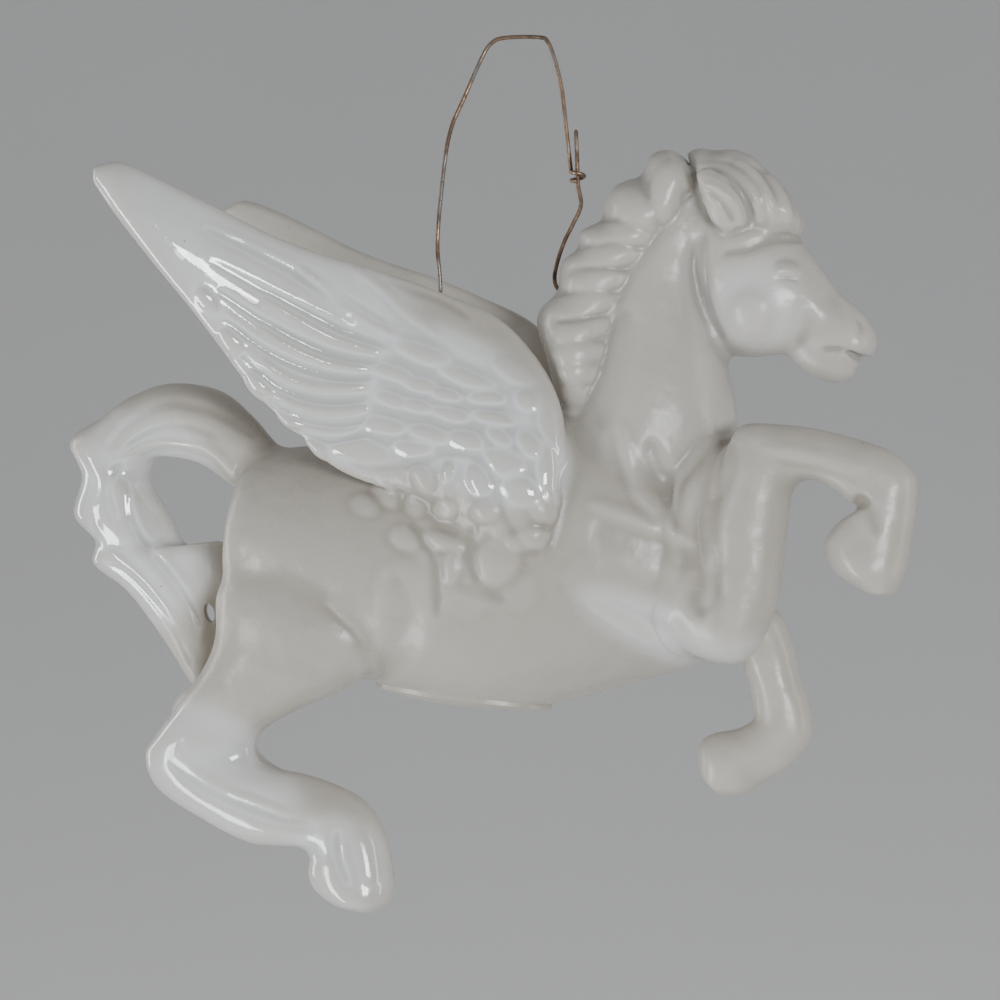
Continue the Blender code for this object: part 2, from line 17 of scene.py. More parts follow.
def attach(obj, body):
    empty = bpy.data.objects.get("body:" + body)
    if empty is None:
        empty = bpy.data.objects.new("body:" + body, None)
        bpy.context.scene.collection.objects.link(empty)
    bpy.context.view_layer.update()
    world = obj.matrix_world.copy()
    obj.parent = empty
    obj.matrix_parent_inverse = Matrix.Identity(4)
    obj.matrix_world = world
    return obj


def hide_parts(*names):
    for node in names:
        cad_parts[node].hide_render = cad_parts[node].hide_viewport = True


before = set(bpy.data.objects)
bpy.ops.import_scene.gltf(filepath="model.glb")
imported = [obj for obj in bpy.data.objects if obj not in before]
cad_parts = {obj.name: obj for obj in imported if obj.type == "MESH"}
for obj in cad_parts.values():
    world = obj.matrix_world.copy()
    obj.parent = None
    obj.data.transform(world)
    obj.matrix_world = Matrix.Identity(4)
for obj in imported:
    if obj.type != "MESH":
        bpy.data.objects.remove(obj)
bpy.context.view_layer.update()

bl_info = {
    "name": "Winged Horse Ornament",
    "version": (1, 0, 0),
    "blender": (4, 5, 0),
    "location": "View3D > Sidebar > Ornament",
    "description": "Models a hanging winged horse of glazed ceramic on its packed frame",
    "category": "Object",
}

MM = 0.001

# The side drawing: the camera's view of the figure, where one unit is this many millimetres
DRAWING_UNIT = 0.236
DRAWING_MIDDLE = 500
VIEW_TURN = math.radians(12.5)
VIEW_DISTANCE = 700.0
VIEW_CENTRE = Vector((-3.54, 0, -108.56))

# Ovals of each form: the two ends of the long axis as x and z, the width, and the y of the middle
FORMS = {
    "trunk": (
        (-66, -114, -66.5, -122, 12, 0), (-64, -99.5, -68, -135, 36, 0),
        (-55, -96, -59, -144.5, 47, 0), (-41.5, -95.5, -41.5, -148.5, 52, 0),
        (-28, -95, -26.5, -154.5, 54, 0), (-14.5, -93, -13, -158, 56, 0),
        (-2.5, -88.5, 1.5, -158, 56, 0), (8.5, -83, 16, -155, 54, 0),
        (20.5, -84, 31, -150.5, 50, 0), (33.5, -91, 43, -146.8, 44, 0),
        (43, -101.5, 50.5, -141, 34, 0), (48.5, -113, 53, -131.5, 18, 0),
    ),
    "neck": (
        (12, -106, 40, -132, 36, 0), (7.5, -94.5, 44, -119, 41, 0), (10, -81.5, 49, -106, 41, 0),
        (11, -72, 52.5, -92.5, 38, 0), (14.5, -60.5, 50.5, -77, 32, 0),
        (22.5, -47.5, 47.5, -63.5, 27, 0), (33.5, -36, 48, -50.5, 23, 0),
        (40, -32, 50.5, -43, 18, 0),
    ),
    "head": (
        (41.5, -33, 44, -57, 16, 0), (53, -33.5, 46.5, -69.5, 22, 0), (62, -41, 50, -74.5, 25, 0),
        (67, -47.7, 56, -75.5, 25, 0), (70.7, -52.7, 61.5, -75, 22, 0), (74, -57.7, 66, -75, 18, 0),
        (76.5, -61, 69, -76.5, 15.5, 0), (80, -63.5, 72.5, -79, 15.5, 0),
        (83, -67, 77, -79.5, 15, 0), (85, -71, 80, -77.5, 12, 0), (84.8, -74.5, 82.5, -76.5, 6, 0),
    ),
    "chin": (
        (68, -71.5, 65, -76, 9, 0), (73, -72, 70.5, -80, 11.5, 0), (78, -73.5, 76, -81.8, 11.5, 0),
        (80.8, -76.5, 79.8, -80.3, 7, 0),
    ),
    "mane": (
        (13.5, -92, 19, -99, 9, 0), (11, -84, 22, -96, 31, 0), (9, -76, 25, -86, 42, 0),
        (6.5, -69, 28, -79.5, 42, 0), (6.5, -64.5, 29, -73, 39.5, 0), (11, -59.5, 30, -69, 36, 0),
        (11.8, -53.5, 31.5, -64, 34, 0), (15.5, -50, 33, -59.5, 32, 0),
        (16.3, -46, 35, -56.5, 31, 0), (21, -43.5, 37, -54, 29.5, 0),
        (22.5, -37.7, 39, -51.5, 28.5, 0), (27, -34, 41, -49, 28, 0), (30.5, -33, 42.5, -47, 27, 0),
        (32.8, -28.2, 44, -44.5, 26, 0), (37, -27, 45, -41, 25, 0), (39.5, -28.2, 45, -37, 17, 0),
    ),
    "forelock": (
        (41, -28, 43.5, -33, 10, 0), (44, -26.8, 45.5, -40, 21, 0), (48, -27.5, 49, -44, 25, 0),
        (52, -27.3, 54, -46.5, 27, 0), (56.5, -29, 58.5, -48, 27.5, 0),
        (60, -32.5, 62, -48.5, 26.5, 0), (62.5, -35, 64.5, -48, 24.5, 0),
        (66.3, -39.5, 67, -47.5, 19, 0), (68.2, -44, 68.2, -47, 9, 0),
    ),
    "ear_right": (
        (51, -48, 57.5, -45, 6, -10), (48.5, -43, 56.5, -40.5, 7, -13.5),
        (46, -37.5, 53, -35.5, 6.5, -14.5), (45, -34, 48, -33, 4, -14),
    ),
    "foreleg_right": (
        (33, -121, 33, -137, 17, -8), (43, -126, 45, -144, 19, -12.5),
        (49.5, -128, 57, -145, 18.5, -15), (48.5, -121, 64, -132.5, 16.5, -16),
        (48, -113, 66.5, -115, 16, -16.5), (49.5, -104, 67.5, -107.5, 16, -16.5),
        (53, -96, 69, -105, 15.5, -16.5), (56.5, -91.5, 71.5, -104, 15.5, -16.5),
        (65, -91.5, 74.5, -104.5, 14, -16.5), (73, -92.5, 77.5, -106.5, 13, -16.5),
        (81, -94.5, 80.5, -109, 13, -16.5), (89.5, -97.5, 82, -109.5, 13, -16.5),
        (95, -102.5, 82, -111, 13, -16.5), (95.5, -109, 78, -113.5, 13.5, -16.5),
        (94.5, -117, 75, -118, 15, -16.5), (93, -125, 77, -124.5, 16, -16.5),
        (90.5, -130, 84.5, -129.5, 11, -16.5),
    ),
    "foreleg_left": (
        (30, -124, 30, -140, 15, 10), (42, -130, 42, -144.5, 17, 14),
        (53, -131.5, 49, -145.5, 15.5, 15.5), (60.5, -135, 52, -147, 13.5, 16),
        (63.5, -141.5, 52.5, -149, 12.5, 16.5), (65.3, -150, 53.5, -152.5, 12, 17),
        (67.8, -157, 54.5, -158.5, 12, 17), (68.3, -164.5, 54, -161, 12.5, 17),
        (64, -171, 50, -163, 13, 17), (57, -175.5, 45, -164, 14.5, 17),
        (52.5, -178.5, 41.5, -166.5, 15.5, 17), (47, -179, 41.5, -173, 12, 17),
    ),
    "hindleg_right": (
        (-61, -116, -30, -128, 28, -9), (-68.5, -129, -26, -144, 29, -12.5),
        (-69, -140.5, -36, -152, 25.5, -13.5), (-71.5, -148, -47, -157, 20.5, -15),
        (-77, -156, -55.5, -161.5, 17, -16), (-82.5, -163.5, -58.5, -165.5, 15.5, -17),
        (-85.5, -169, -57.5, -169.5, 14.5, -17), (-82.5, -176.5, -53, -171.5, 14, -17),
        (-72.5, -183, -46.5, -172.5, 13.5, -17), (-59.5, -189, -38.5, -175, 13.5, -17),
        (-48, -189.5, -32, -178.5, 14, -17), (-45, -192, -28, -184, 15, -17),
        (-45.5, -195, -26, -190, 16.5, -17), (-44, -199, -25, -197, 17.5, -17),
        (-39, -202.5, -25.5, -201.5, 16.5, -17), (-33.5, -204, -28, -204, 9, -17),
    ),
    "hindleg_left": (
        (-61, -116, -30, -128, 28, 11), (-69.5, -129, -28, -143.5, 29, 14.5),
        (-72, -140, -41, -151, 25, 15.5), (-77.5, -146, -57, -156, 20, 17),
        (-84.5, -152.5, -66.5, -160.5, 16.5, 18), (-90, -158, -71, -165, 15, 19),
        (-91, -164, -69, -170.5, 14, 19), (-86.5, -171.5, -65, -174, 13.5, 19),
        (-77, -179.5, -58, -177, 13, 19), (-66, -186.5, -49, -180.5, 13, 19),
        (-57, -190.5, -43, -184.5, 13.5, 19), (-53.5, -193.5, -39, -188.5, 14.5, 19),
        (-53.5, -197, -37, -194, 16, 19), (-52.5, -200.5, -36, -199, 17, 19),
        (-48, -203, -38, -202.5, 13, 19),
    ),
    "tail": (
        (-49, -100, -59, -114, 18, 0), (-58, -95.5, -66, -107.5, 18.5, 0),
        (-65, -88, -71, -104, 18.5, 0), (-73, -82, -77, -100, 18.5, 0),
        (-85, -80.3, -84.5, -98.2, 18.5, 0), (-95, -83.5, -88.5, -98.5, 18.5, 0),
        (-102.5, -88.5, -90.5, -101, 18.5, 0), (-110.5, -94, -90.5, -104.5, 17.5, 0),
        (-107.3, -102.5, -88, -108.5, 17.5, 0), (-109.6, -112, -84.8, -113, 17, 0),
        (-104, -118.5, -81, -119.5, 16, 0), (-104.5, -124, -71.5, -118.5, 15, -1),
        (-96, -130, -68.5, -125.5, 13, -2), (-90, -137, -72.5, -134, 10.5, -2),
        (-84.5, -144.5, -73, -143.5, 9, -2), (-79, -153, -75.5, -151.5, 5, -2),
    ),
    "wing_right": (
        (13.5, -118.5, 8.5, -122.5, 5, -25, -26), (16, -108.5, 3, -119.5, 9.5, -23.5, -26.5),
        (17, -97, -3.5, -115, 12, -22.5, -26.5), (15, -86, -12, -110.5, 12.5, -21, -25.5),
        (9.5, -76, -20.5, -107, 12.5, -19.5, -24), (0, -66.5, -30, -104.5, 12, -18.5, -23.5),
        (-13.5, -60.5, -38, -100.5, 11, -19, -25), (-26, -56, -45, -93, 10, -22, -28.5),
        (-38, -52.5, -53.5, -84.5, 9.5, -26.5, -33), (-49.5, -48, -61, -73.5, 9, -31.5, -37),
        (-61, -42, -67, -64.5, 8.5, -36.5, -41), (-72.5, -36, -73.5, -55.5, 8, -41.5, -45),
        (-81.5, -32, -82, -44, 7, -46, -48), (-87, -33, -87, -36.5, 4, -48.5, -49),
    ),
}
MIRRORED_FORMS = {"ear_right": ("ear_left", 0, 0), "wing_right": ("wing_left", 3.0, 1.5)}
LIFT_PEAK = 4 / 27
WING_FORMS = ("wing_right", "wing_left")
EAR_FORMS = ("ear_right", "ear_left")
POINTS_ROUND = {"trunk": 96, **dict.fromkeys(WING_FORMS, 72), **dict.fromkeys(EAR_FORMS, 28)}
POINTS_ROUND_LIMB = 56
OVALS_BETWEEN = 5
CHEEK_MIDDLE = (58.0, 0.0, -64.0)
CHEEK_RADII = (11.0, 14.0, 11.0)

# Walls, holes and the bare rim of the pour opening
WALL = 3.5
HOLE_RADIUS = 1.5
BACK_HOLE = (-18.0, -95.4)
CREST_HOLE = (11.0, -59.5)
CREST_LEAN = (-0.91, 0.41)
CREST_REACH = 16.0
CREST_FLARE = 0.34
CREST_MOUTH = 1.0
BORE_INSIDE = 14.0
BORE_OUTSIDE = 8.0
CUTTER_DEPTH = 24.0
POUR_MIDDLE = (-12.0, -157.0)
POUR_SIZE = (36.0, 22.0)
POUR_RIM = 2.5
POUR_PROUD = 0.9
POUR_TILT = math.radians(-8)


def eased(before, near, far, after, t):
    """A smooth value from near to far, as t goes from 0 to 1."""
    slope_in, slope_out = (far - before) / 2, (after - near) / 2
    bend = 3 * (far - near) - 2 * slope_in - slope_out
    twist = slope_in + slope_out - 2 * (far - near)
    return near + t * (slope_in + t * (bend + t * twist))


def between(rows, steps):
    """The rows, with smooth ones set between each two."""
    last = len(rows) - 1
    made = []
    for i in range(last):
        four = [rows[min(max(i + k, 0), last)] for k in (-1, 0, 1, 2)]
        for step in range(steps):
            made.append([eased(*values, step / steps) for values in zip(*four)])
    return made + [list(rows[-1])]


def mirrored(rows, rise, lean):
    """Ovals for the left side, leaning further out and raised most two thirds of the way along."""
    made = []
    for i, row in enumerate(rows):
        share = i / (len(rows) - 1)
        lift = rise * (share**2 * (1 - share) / LIFT_PEAK) ** 2
        x1, z1, x2, z2, width = row[:5]
        made.append((x1, z1 + lift, x2, z2 + lift, width, *(lean - y for y in row[5:])))
    return made


def form_rows():
    """Each form's ovals, the left ear and wing among them."""
    rows = dict(FORMS)
    for name, (left, rise, lean) in MIRRORED_FORMS.items():
        rows[left] = mirrored(FORMS[name], rise, lean)
    return rows


def oval_places(rows, leaning):
    """For each oval, the matrix that lays a unit circle on it."""
    rows = between(rows, OVALS_BETWEEN)
    ends = [(Vector((r[0], r[5], r[1])), Vector((r[2], r[-1], r[3]))) for r in rows]
    places = []
    for i, (top, bottom) in enumerate(ends):
        half = (top - bottom) / 2
        across = Vector((0, 1, 0))
        if leaning:
            near, far = ends[max(i - 1, 0)], ends[min(i + 1, len(ends) - 1)]
            across = half.cross(sum(far, Vector()) - sum(near, Vector())).normalized()
        across *= rows[i][4] / 2
        columns = (half, across, half.cross(across), (top + bottom) / 2)
        place = Matrix([column.to_4d() for column in columns]).transposed()
        place[3][0] = place[3][1] = place[3][2] = 0
        places.append(place)
    return places


def bridged(clay, places, count, closed=True):
    """Adds one skin bridged through unit circles, each laid by its matrix. Its start is closed."""
    hoops = []
    for place in places:
        ring = bmesh.ops.create_circle(clay, segments=count, radius=1, matrix=place)["verts"]
        hoops.append([edge for vert in ring for edge in vert.link_edges if vert == edge.verts[0]])
    for near, far in zip(hoops, hoops[1:]):
        bmesh.ops.bridge_loops(clay, edges=near + far)
    for hoop in (hoops[0], hoops[-1]) if closed else hoops[:1]:
        bmesh.ops.edgeloop_fill(clay, edges=hoop)
    bmesh.ops.recalc_face_normals(clay, faces=clay.faces)


# Sculpting on the side drawing. A stroke is a height, a radius and a line of points. A lobe is the
# middle of an oval, its two half lengths, its turn in degrees and a height. Heights are in
# millimetres, and negative ones sink.
FULLY_FACING = 0.35
STROKE_STEPS = 3
STROKE_TIP = 0.3
LOBE_SHAPE = 0.85

NECK_STROKES = (
    (0.2, 14, (697, 226), (687, 245), (680, 265), (681, 290), (688, 308), (702, 328), (722, 346)),
    (-0.5, 16, (706, 236), (699, 255), (698, 275), (702, 295), (711, 316), (724, 338)),
    (0.4, 16, (735, 385), (731, 415), (727, 445), (719, 475), (707, 497)),
    (-0.8, 17, (650, 440), (660, 475), (680, 508)),
    (0.7, 13, (618, 420), (629, 460), (640, 492), (660, 515), (688, 543)),
    (-0.6, 24, (628, 310), (618, 350), (608, 390), (600, 430)),
)
HEAD_STROKES = (
    (-0.8, 10, (722, 254), (745, 250), (762, 243), (785, 238), (803, 240)),
    (-0.35, 8, (773, 264), (786, 260), (800, 264)),
    (0.5, 8, (775, 272), (788, 269), (800, 274)),
    (-0.45, 5, (775, 279), (788, 278), (799, 282)),
    (-0.5, 6, (856, 318), (862, 326), (861, 334)),
    (0.3, 7, (838, 296), (849, 312), (855, 332)),
    (-1.1, 5, (857, 358), (846, 352), (834, 349), (822, 350)),
    (-0.5, 16, (800, 300), (806, 322), (800, 345)),
    (0.3, 10, (806, 252), (824, 280), (842, 300)),
)
FORELOCK_STROKES = (
    (1.1, 5.5, (703, 184), (717, 188), (729, 198), (738, 210), (743, 226)),
    (0.8, 5.5, (702, 197), (707, 209), (715, 219), (727, 229)),
    (-0.9, 5, (706, 190), (717, 199), (727, 211), (735, 224)),
    (-0.6, 6, (712, 172), (729, 181), (743, 195), (751, 213), (753, 228)),
    (0.5, 8, (699, 166), (720, 168), (740, 180), (754, 200), (760, 222)),
    (-0.5, 6, (722, 160), (742, 169), (757, 184), (765, 204), (768, 224)),
    (0.5, 8, (735, 161), (752, 172), (765, 189), (774, 215)),
    (-0.5, 5, (752, 164), (764, 175), (775, 193), (781, 217)),
    (0.5, 7, (766, 174), (779, 187), (787, 203), (790, 224)),
    (-0.4, 5, (781, 185), (791, 199), (797, 217)),
    (-0.5, 14, (690, 165), (688, 185), (692, 205), (706, 228)),
)
MANE_LOBES = (
    (690, 170, 26, 14, 95, 0.8),
    (666, 192, 34, 17, 98, 1.1),
    (634, 210, 34, 18, 50, 1.1),
    (618, 235, 40, 14, 4, 1.0),
    (602, 258, 42, 13, -6, 0.9),
    (597, 281, 38, 13, -7, 0.8),
    (580, 305, 42, 14, -10, 0.8),
    (581, 330, 36, 13, -10, 0.7),
    (580, 353, 32, 12, -6, 0.6),
    (581, 374, 28, 12, -2, 0.5),
    (579, 396, 24, 12, 6, 0.5),
    (577, 417, 19, 11, 16, 0.45),
)
MANE_STROKES = (
    (-0.6, 8, (650, 292), (635, 320), (622, 350), (611, 380), (603, 410), (590, 436)),
    (-0.4, 4, (600, 244), (620, 243), (645, 247)),
    (-0.4, 4, (572, 268), (600, 268), (630, 270)),
    (-0.5, 5, (555, 320), (578, 321), (603, 314)),
)
MOUTH_STROKES = ((-1.5, 6, (868, 361), (856, 358), (846, 354)),)
SCALLOP_LOBES = (
    (207, 300, 17, 10, 52, 0.9), (231, 343, 18, 11, 52, 1.0), (258, 386, 18, 11, 48, 1.0),
    (288, 424, 17, 11, 42, 0.9), (314, 452, 16, 11, 38, 0.9),
)
FEATHER_STROKES = (
    (-0.5, 10, (205, 228), (262, 256), (308, 281), (350, 304), (388, 326)),
    (-0.5, 9, (212, 262), (262, 290), (310, 315), (350, 334), (388, 347)),
    (-0.8, 9, (220, 292), (255, 316), (292, 338), (335, 356), (378, 362)),
    (-1.0, 8, (222, 318), (266, 350), (305, 368), (345, 377), (372, 377)),
    (-1.1, 8, (238, 352), (268, 380), (300, 395), (332, 400), (366, 397)),
    (-1.1, 8, (258, 392), (285, 411), (312, 421), (342, 424), (368, 418)),
    (-0.9, 7, (288, 426), (312, 437), (340, 440), (368, 431)),
    (0.5, 9, (300, 268), (330, 292), (362, 314), (400, 338)),
    (0.5, 9, (262, 296), (300, 320), (335, 339), (378, 352)),
    (0.7, 8, (260, 326), (290, 346), (325, 362), (365, 369)),
    (0.8, 8, (262, 362), (285, 378), (318, 388), (362, 388)),
    (0.8, 8, (276, 396), (302, 408), (335, 412), (368, 408)),
    (0.4, 8, (355, 268), (385, 290), (410, 315), (440, 335)),
    (-0.4, 8, (370, 262), (400, 285), (440, 300), (470, 318)),
)
COVERT_LOBES = (
    (424, 354, 34, 12, 20, 0.8), (466, 378, 36, 11, 22, 0.8), (512, 372, 26, 11, 35, 0.6),
    (396, 374, 26, 9, 20, 0.7), (420, 385, 24, 9, 14, 0.7), (446, 395, 20, 9, 15, 0.8),
    (486, 398, 22, 9, 5, 0.8), (528, 400, 17, 13, 30, 0.8), (392, 400, 20, 9, 20, 0.7),
    (418, 406, 22, 8, 12, 0.7), (450, 414, 24, 9, 16, 0.8), (492, 418, 24, 9, 14, 0.8),
    (386, 426, 26, 11, 12, 0.9), (428, 434, 26, 11, 12, 0.9), (466, 440, 22, 12, 14, 0.9),
    (362, 450, 32, 14, 8, 1.0), (414, 448, 26, 11, 8, 0.9), (500, 438, 20, 10, 40, 0.8),
    (504, 462, 26, 18, 20, 1.0), (530, 446, 20, 13, 45, 0.8), (522, 490, 24, 17, 35, 1.0),
    (546, 470, 12, 34, -4, 0.8), (548, 420, 12, 30, -10, 0.7), (545, 512, 20, 13, 30, 0.9),
    (532, 540, 26, 13, -8, 0.9), (551, 500, 9, 24, -8, 0.7),
)
COVERT_STROKES = (
    (-0.35, 8, (352, 468), (380, 470), (408, 464), (440, 452), (466, 452), (486, 462), (496, 484)),
    (-0.35, 8, (496, 484), (504, 514), (520, 540), (541, 554), (566, 548)),
)
SHOULDER_STROKES = (
    (0.45, 15, (588, 503), (620, 515), (650, 527), (694, 545)),
    (-0.4, 26, (590, 530), (636, 542), (696, 564)),
    (0.5, 40, (565, 575), (640, 588), (722, 610)),
    (-1.0, 22, (731, 442), (722, 475), (705, 515), (694, 555), (693, 590), (702, 618)),
    (0.5, 16, (590, 602), (640, 628), (690, 652), (722, 664)),
    (-0.5, 26, (395, 575), (404, 610), (398, 648), (384, 676)),
    (0.5, 30, (330, 600), (345, 640), (330, 670)),
)
SCAPULAR_LOBES = (
    (387, 495, 18, 11, 38, 1), (422, 479, 18, 11, 60, 1.12), (448, 471, 11, 8, 105, 1),
    (479, 480, 19, 13, 62, 1.12), (445, 510, 14, 12, 20, 1), (484, 512, 15, 12, 0, 1),
    (414, 506, 14, 10, 40, 0.75), (365, 505, 17, 12, 20, 0.62), (442, 541, 24, 9, 18, 1),
    (451, 566, 9, 20, 0, 0.88), (499, 560, 24, 28, 10, 1.12), (400, 588, 28, 32, 0, 0.3),
    (405, 538, 18, 13, 30, 0.75), (468, 600, 22, 22, 20, 0.3), (520, 592, 20, 22, 0, 0.3),
)
SCAPULAR_STROKES = (
    (-0.5, 11, (431, 550), (436, 580), (437, 616)),
    (-0.5, 11, (475, 526), (469, 552), (477, 584)),
    (-0.4, 9, (410, 522), (422, 538), (431, 554)),
    (-0.35, 12, (458, 585), (480, 592), (506, 600)),
)
HINDLEG_STROKES = (
    (-0.5, 12, (170, 762), (200, 786), (235, 804), (275, 818), (320, 826)),
    (-0.6, 10, (337, 830), (338, 858), (349, 888)),
    (0.35, 6, (228, 792), (258, 801), (292, 815)),
    (0.4, 16, (352, 815), (366, 850), (373, 885)),
)
FORELEG_STROKES = (
    (-0.5, 12, (856, 497), (870, 512), (876, 535)),
    (0.35, 8, (762, 447), (810, 456), (865, 470)),
    (-0.3, 7, (775, 462), (820, 470), (860, 484)),
)
TAIL_STROKES = (
    (-0.4, 9, (255, 438), (228, 420), (200, 408), (165, 405), (130, 420), (106, 445)),
    (-0.5, 9, (218, 438), (190, 427), (160, 427), (136, 440), (116, 466), (110, 494), (118, 522)),
    (0.7, 8, (234, 478), (222, 462), (203, 448), (165, 442), (135, 448), (112, 465)),
    (-0.5, 7, (134, 480), (130, 505), (138, 530), (156, 556), (184, 592), (200, 625)),
    (-0.5, 7, (98, 560), (124, 572), (150, 596), (176, 630), (192, 668)),
    (0.4, 8, (95, 520), (108, 548), (138, 575), (165, 610), (190, 655)),
)
SCULPTING = (
    (("neck", "head", "cheek", "trunk", "foreleg_right", "foreleg_left"), True, NECK_STROKES, ()),
    (("head", "cheek", "chin"), True, HEAD_STROKES, ()),
    (("forelock", "mane", *EAR_FORMS), False, FORELOCK_STROKES, ()),
    (("mane",), False, MANE_STROKES, MANE_LOBES),
    (("head", "cheek", "chin"), False, MOUTH_STROKES, ()),
    (WING_FORMS, False, (), SCALLOP_LOBES),
    (WING_FORMS, True, FEATHER_STROKES, ()),
    (WING_FORMS, True, COVERT_STROKES, COVERT_LOBES),
    (("trunk", "neck", "foreleg_right", "chest_filler"), True, SHOULDER_STROKES, ()),
    (("trunk", "neck", *WING_FORMS), True, SCAPULAR_STROKES, SCAPULAR_LOBES),
    (("hindleg_right",), True, HINDLEG_STROKES, ()),
    (("foreleg_right",), True, FORELEG_STROKES, ()),
    (("tail",), False, TAIL_STROKES, ()),
)

# Clay pressed between the raised foreleg and the chest, as a form of its own
CHEST_FILLER = (
    (45, -97, 57, -95, 12, -8), (39, -106, 57, -104, 18, -10.5), (35, -115, 57, -113, 20, -11),
    (34, -124, 57, -124, 21, -11.5), (35, -132, 56, -133, 20, -12), (38, -138, 53, -140, 13, -12),
)

# How strongly two forms flow into each other where they meet. Above 1, they are smoothed again.
BLENDS = (
    ("trunk", "foreleg", 3.0), ("trunk", "hindleg", 1.0), ("trunk", "neck", 1.0),
    ("trunk", "tail", 2.0), ("neck", "foreleg", 3.0), ("neck", "head", 2.5), ("head", "cheek", 1.5),
    ("neck", "cheek", 2.0), ("head", "chin", 0.5), ("wing", "trunk", 1.5), ("tail", "hindleg", 0.1),
    ("chest", "", 5.0), ("mane", "neck", 0.7), ("mane", "forelock", 2.0), ("forelock", "neck", 1.0),
    ("forelock", "head", 0.5), ("ear", "", 0.12),
)
BLEND_OTHERS = 0.25
BLEND_SPREAD = 30
BLEND_ROUNDS = 60
BLEND_TIMES = 5
BLEND_PULL = 0.9

# Where the glaze lies thick and glossy, and where painted light makes it lighter and cooler on the lit
# wing, tail, legs, cheek, chest band and a little on the head, as lobes whose height is the share
HEAD_FORMS = ("neck", "head", "cheek", "chin", "mane", "forelock", *EAR_FORMS)
LEG_FORMS = ("hindleg_right", "hindleg_left", "foreleg_right", "foreleg_left")
THICK_AND_LIT_GLAZE = (
    (WING_FORMS, ((250, 300, 250, 130, 40, 1.0), (430, 400, 150, 80, 22, 1.0))),
    ((), ((500, 455, 80, 55, 20, 1.0), (757, 303, 54, 54, 0, 0.55), (655, 628, 95, 28, 25, 0.55))),
    (("tail",), ((140, 520, 90, 120, 0, 0.9),)),
    (HEAD_FORMS, ((700, 300, 260, 260, 0, 0.15),)),
    (LEG_FORMS, ((200, 770, 120, 70, 30, 0.7), (330, 870, 90, 60, 0, 0.7))),
    (LEG_FORMS, ((755, 690, 60, 40, 80, 0.7),)),
)
THICK_ROUNDS = 40


def finished(clay, name):
    """A mesh of this bmesh, which is freed."""
    mesh = bpy.data.meshes.new(name)
    clay.to_mesh(mesh)
    clay.free()
    return mesh


def read(items, field, width, kind=np.float32):
    """One field of all of a mesh's items, as a table of this many columns."""
    found = np.empty(len(items) * width, kind)
    items.foreach_get(field, found)
    return found.reshape(-1, width)


def points_of(mesh):
    """The places of a mesh's points."""
    return read(mesh.vertices, "co", 3).astype(float)


def normals_of(mesh):
    """The way that a mesh's surface faces at each point."""
    return read(mesh.vertex_normals, "vector", 3).astype(float)


def move_points(mesh, points):
    """Moves a mesh's points to these places."""
    mesh.vertices.foreach_set("co", points.astype(np.float32).ravel())
    mesh.update()


def coated(mesh, glaze):
    """Stores the glaze of each point: how deep it lies in a fold, which sets its painted shade and
    painted light, and how thick it is, which also sets its painted light.
    """
    coat = mesh.attributes.new("glaze", "FLOAT_VECTOR", "POINT")
    coat.data.foreach_set("vector", glaze.ravel())


def form_loft(name, rows, grow=0.0):
    """One form as a closed mesh, moved out by this many millimetres."""
    clay = bmesh.new()
    count = POINTS_ROUND.get(name, POINTS_ROUND_LIMB)
    bridged(clay, oval_places(rows, name in WING_FORMS), count)
    mesh = finished(clay, name)
    if grow:
        move_points(mesh, points_of(mesh) + normals_of(mesh) * grow)
    return mesh


def cheek_ball(grow=0.0):
    """The round cheek, moved out by this many millimetres."""
    clay = bmesh.new()
    bmesh.ops.create_icosphere(clay, subdivisions=4, radius=1)
    bmesh.ops.scale(clay, vec=[radius + grow for radius in CHEEK_RADII], verts=clay.verts)
    bmesh.ops.translate(clay, vec=CHEEK_MIDDLE, verts=clay.verts)
    return finished(clay, "cheek")


def joined(name, meshes):
    """One mesh of several, and for each of its faces the number of the mesh that it came from."""
    clay = bmesh.new()
    owners = []
    for i, mesh in enumerate(meshes):
        before = len(clay.faces)
        clay.from_mesh(mesh)
        owners += [i] * (len(clay.faces) - before)
    return finished(clay, name), owners


def placed(name, data):
    """A new object of this mesh, light or camera, in the scene."""
    made = bpy.data.objects.new(name, data)
    bpy.context.scene.collection.objects.link(made)
    return made


def shaped(mesh, kind, **settings):
    """The mesh after one modifier."""
    obj = placed("shaping", mesh)
    modifier = obj.modifiers.new(kind.lower(), kind)
    for name, value in settings.items():
        setattr(modifier, name, value)
    graph = bpy.context.evaluated_depsgraph_get()
    made = bpy.data.meshes.new_from_object(obj.evaluated_get(graph), depsgraph=graph)
    bpy.data.objects.remove(obj)
    return made


def combined(mesh, other, operation):
    """The union, difference or intersection of two closed meshes."""
    tool = placed("cutter", other)
    made = shaped(mesh, "BOOLEAN", object=tool, operation=operation, solver="MANIFOLD")
    bpy.data.objects.remove(tool)
    return made


def averaged(values, edges, degree):
    """For each point, the mean of its neighbours' values."""
    columns = values.reshape(len(degree), -1)
    total = np.empty_like(columns)
    for k in range(columns.shape[1]):
        column = columns[:, k]
        total[:, k] = np.bincount(edges[:, 0], column[edges[:, 1]], len(degree))
        total[:, k] += np.bincount(edges[:, 1], column[edges[:, 0]], len(degree))
    return (total / degree[:, None]).reshape(values.shape)


def smoothed(points, edges, degree, rounds, weight):
    """The values of points after so many rounds, each of which pulls them to their neighbours'."""
    for _ in range(rounds):
        points = points + weight * (averaged(points, edges, degree) - points)
    return points


# The clay: voxel sizes in millimetres, and rounds of smoothing at the fine size
GRAIN = 0.5
SOFTEN_ROUNDS = 6
FINISH_ROUNDS = 3
FOLD_ROUNDS = 8
SEAM_REACH = 0.004
SHARP_ANGLE = math.radians(35)
CUT_GROW = 2.0
EAR_GROW = 1.0
NECK_HOLLOW_ROWS = 5
NECK_HOLLOW_START = (14, -112, 36, -140, 33, 0)
# The fold depth at which the painted shade in folds and the painted light on ridges are full
FOLD_DEPTH = 0.07
TAIL_GAP = (-74.9, -135.6)
TAIL_GAP_HALVES = (1.1, 2.3)
TAIL_GAP_TURN = math.radians(12)

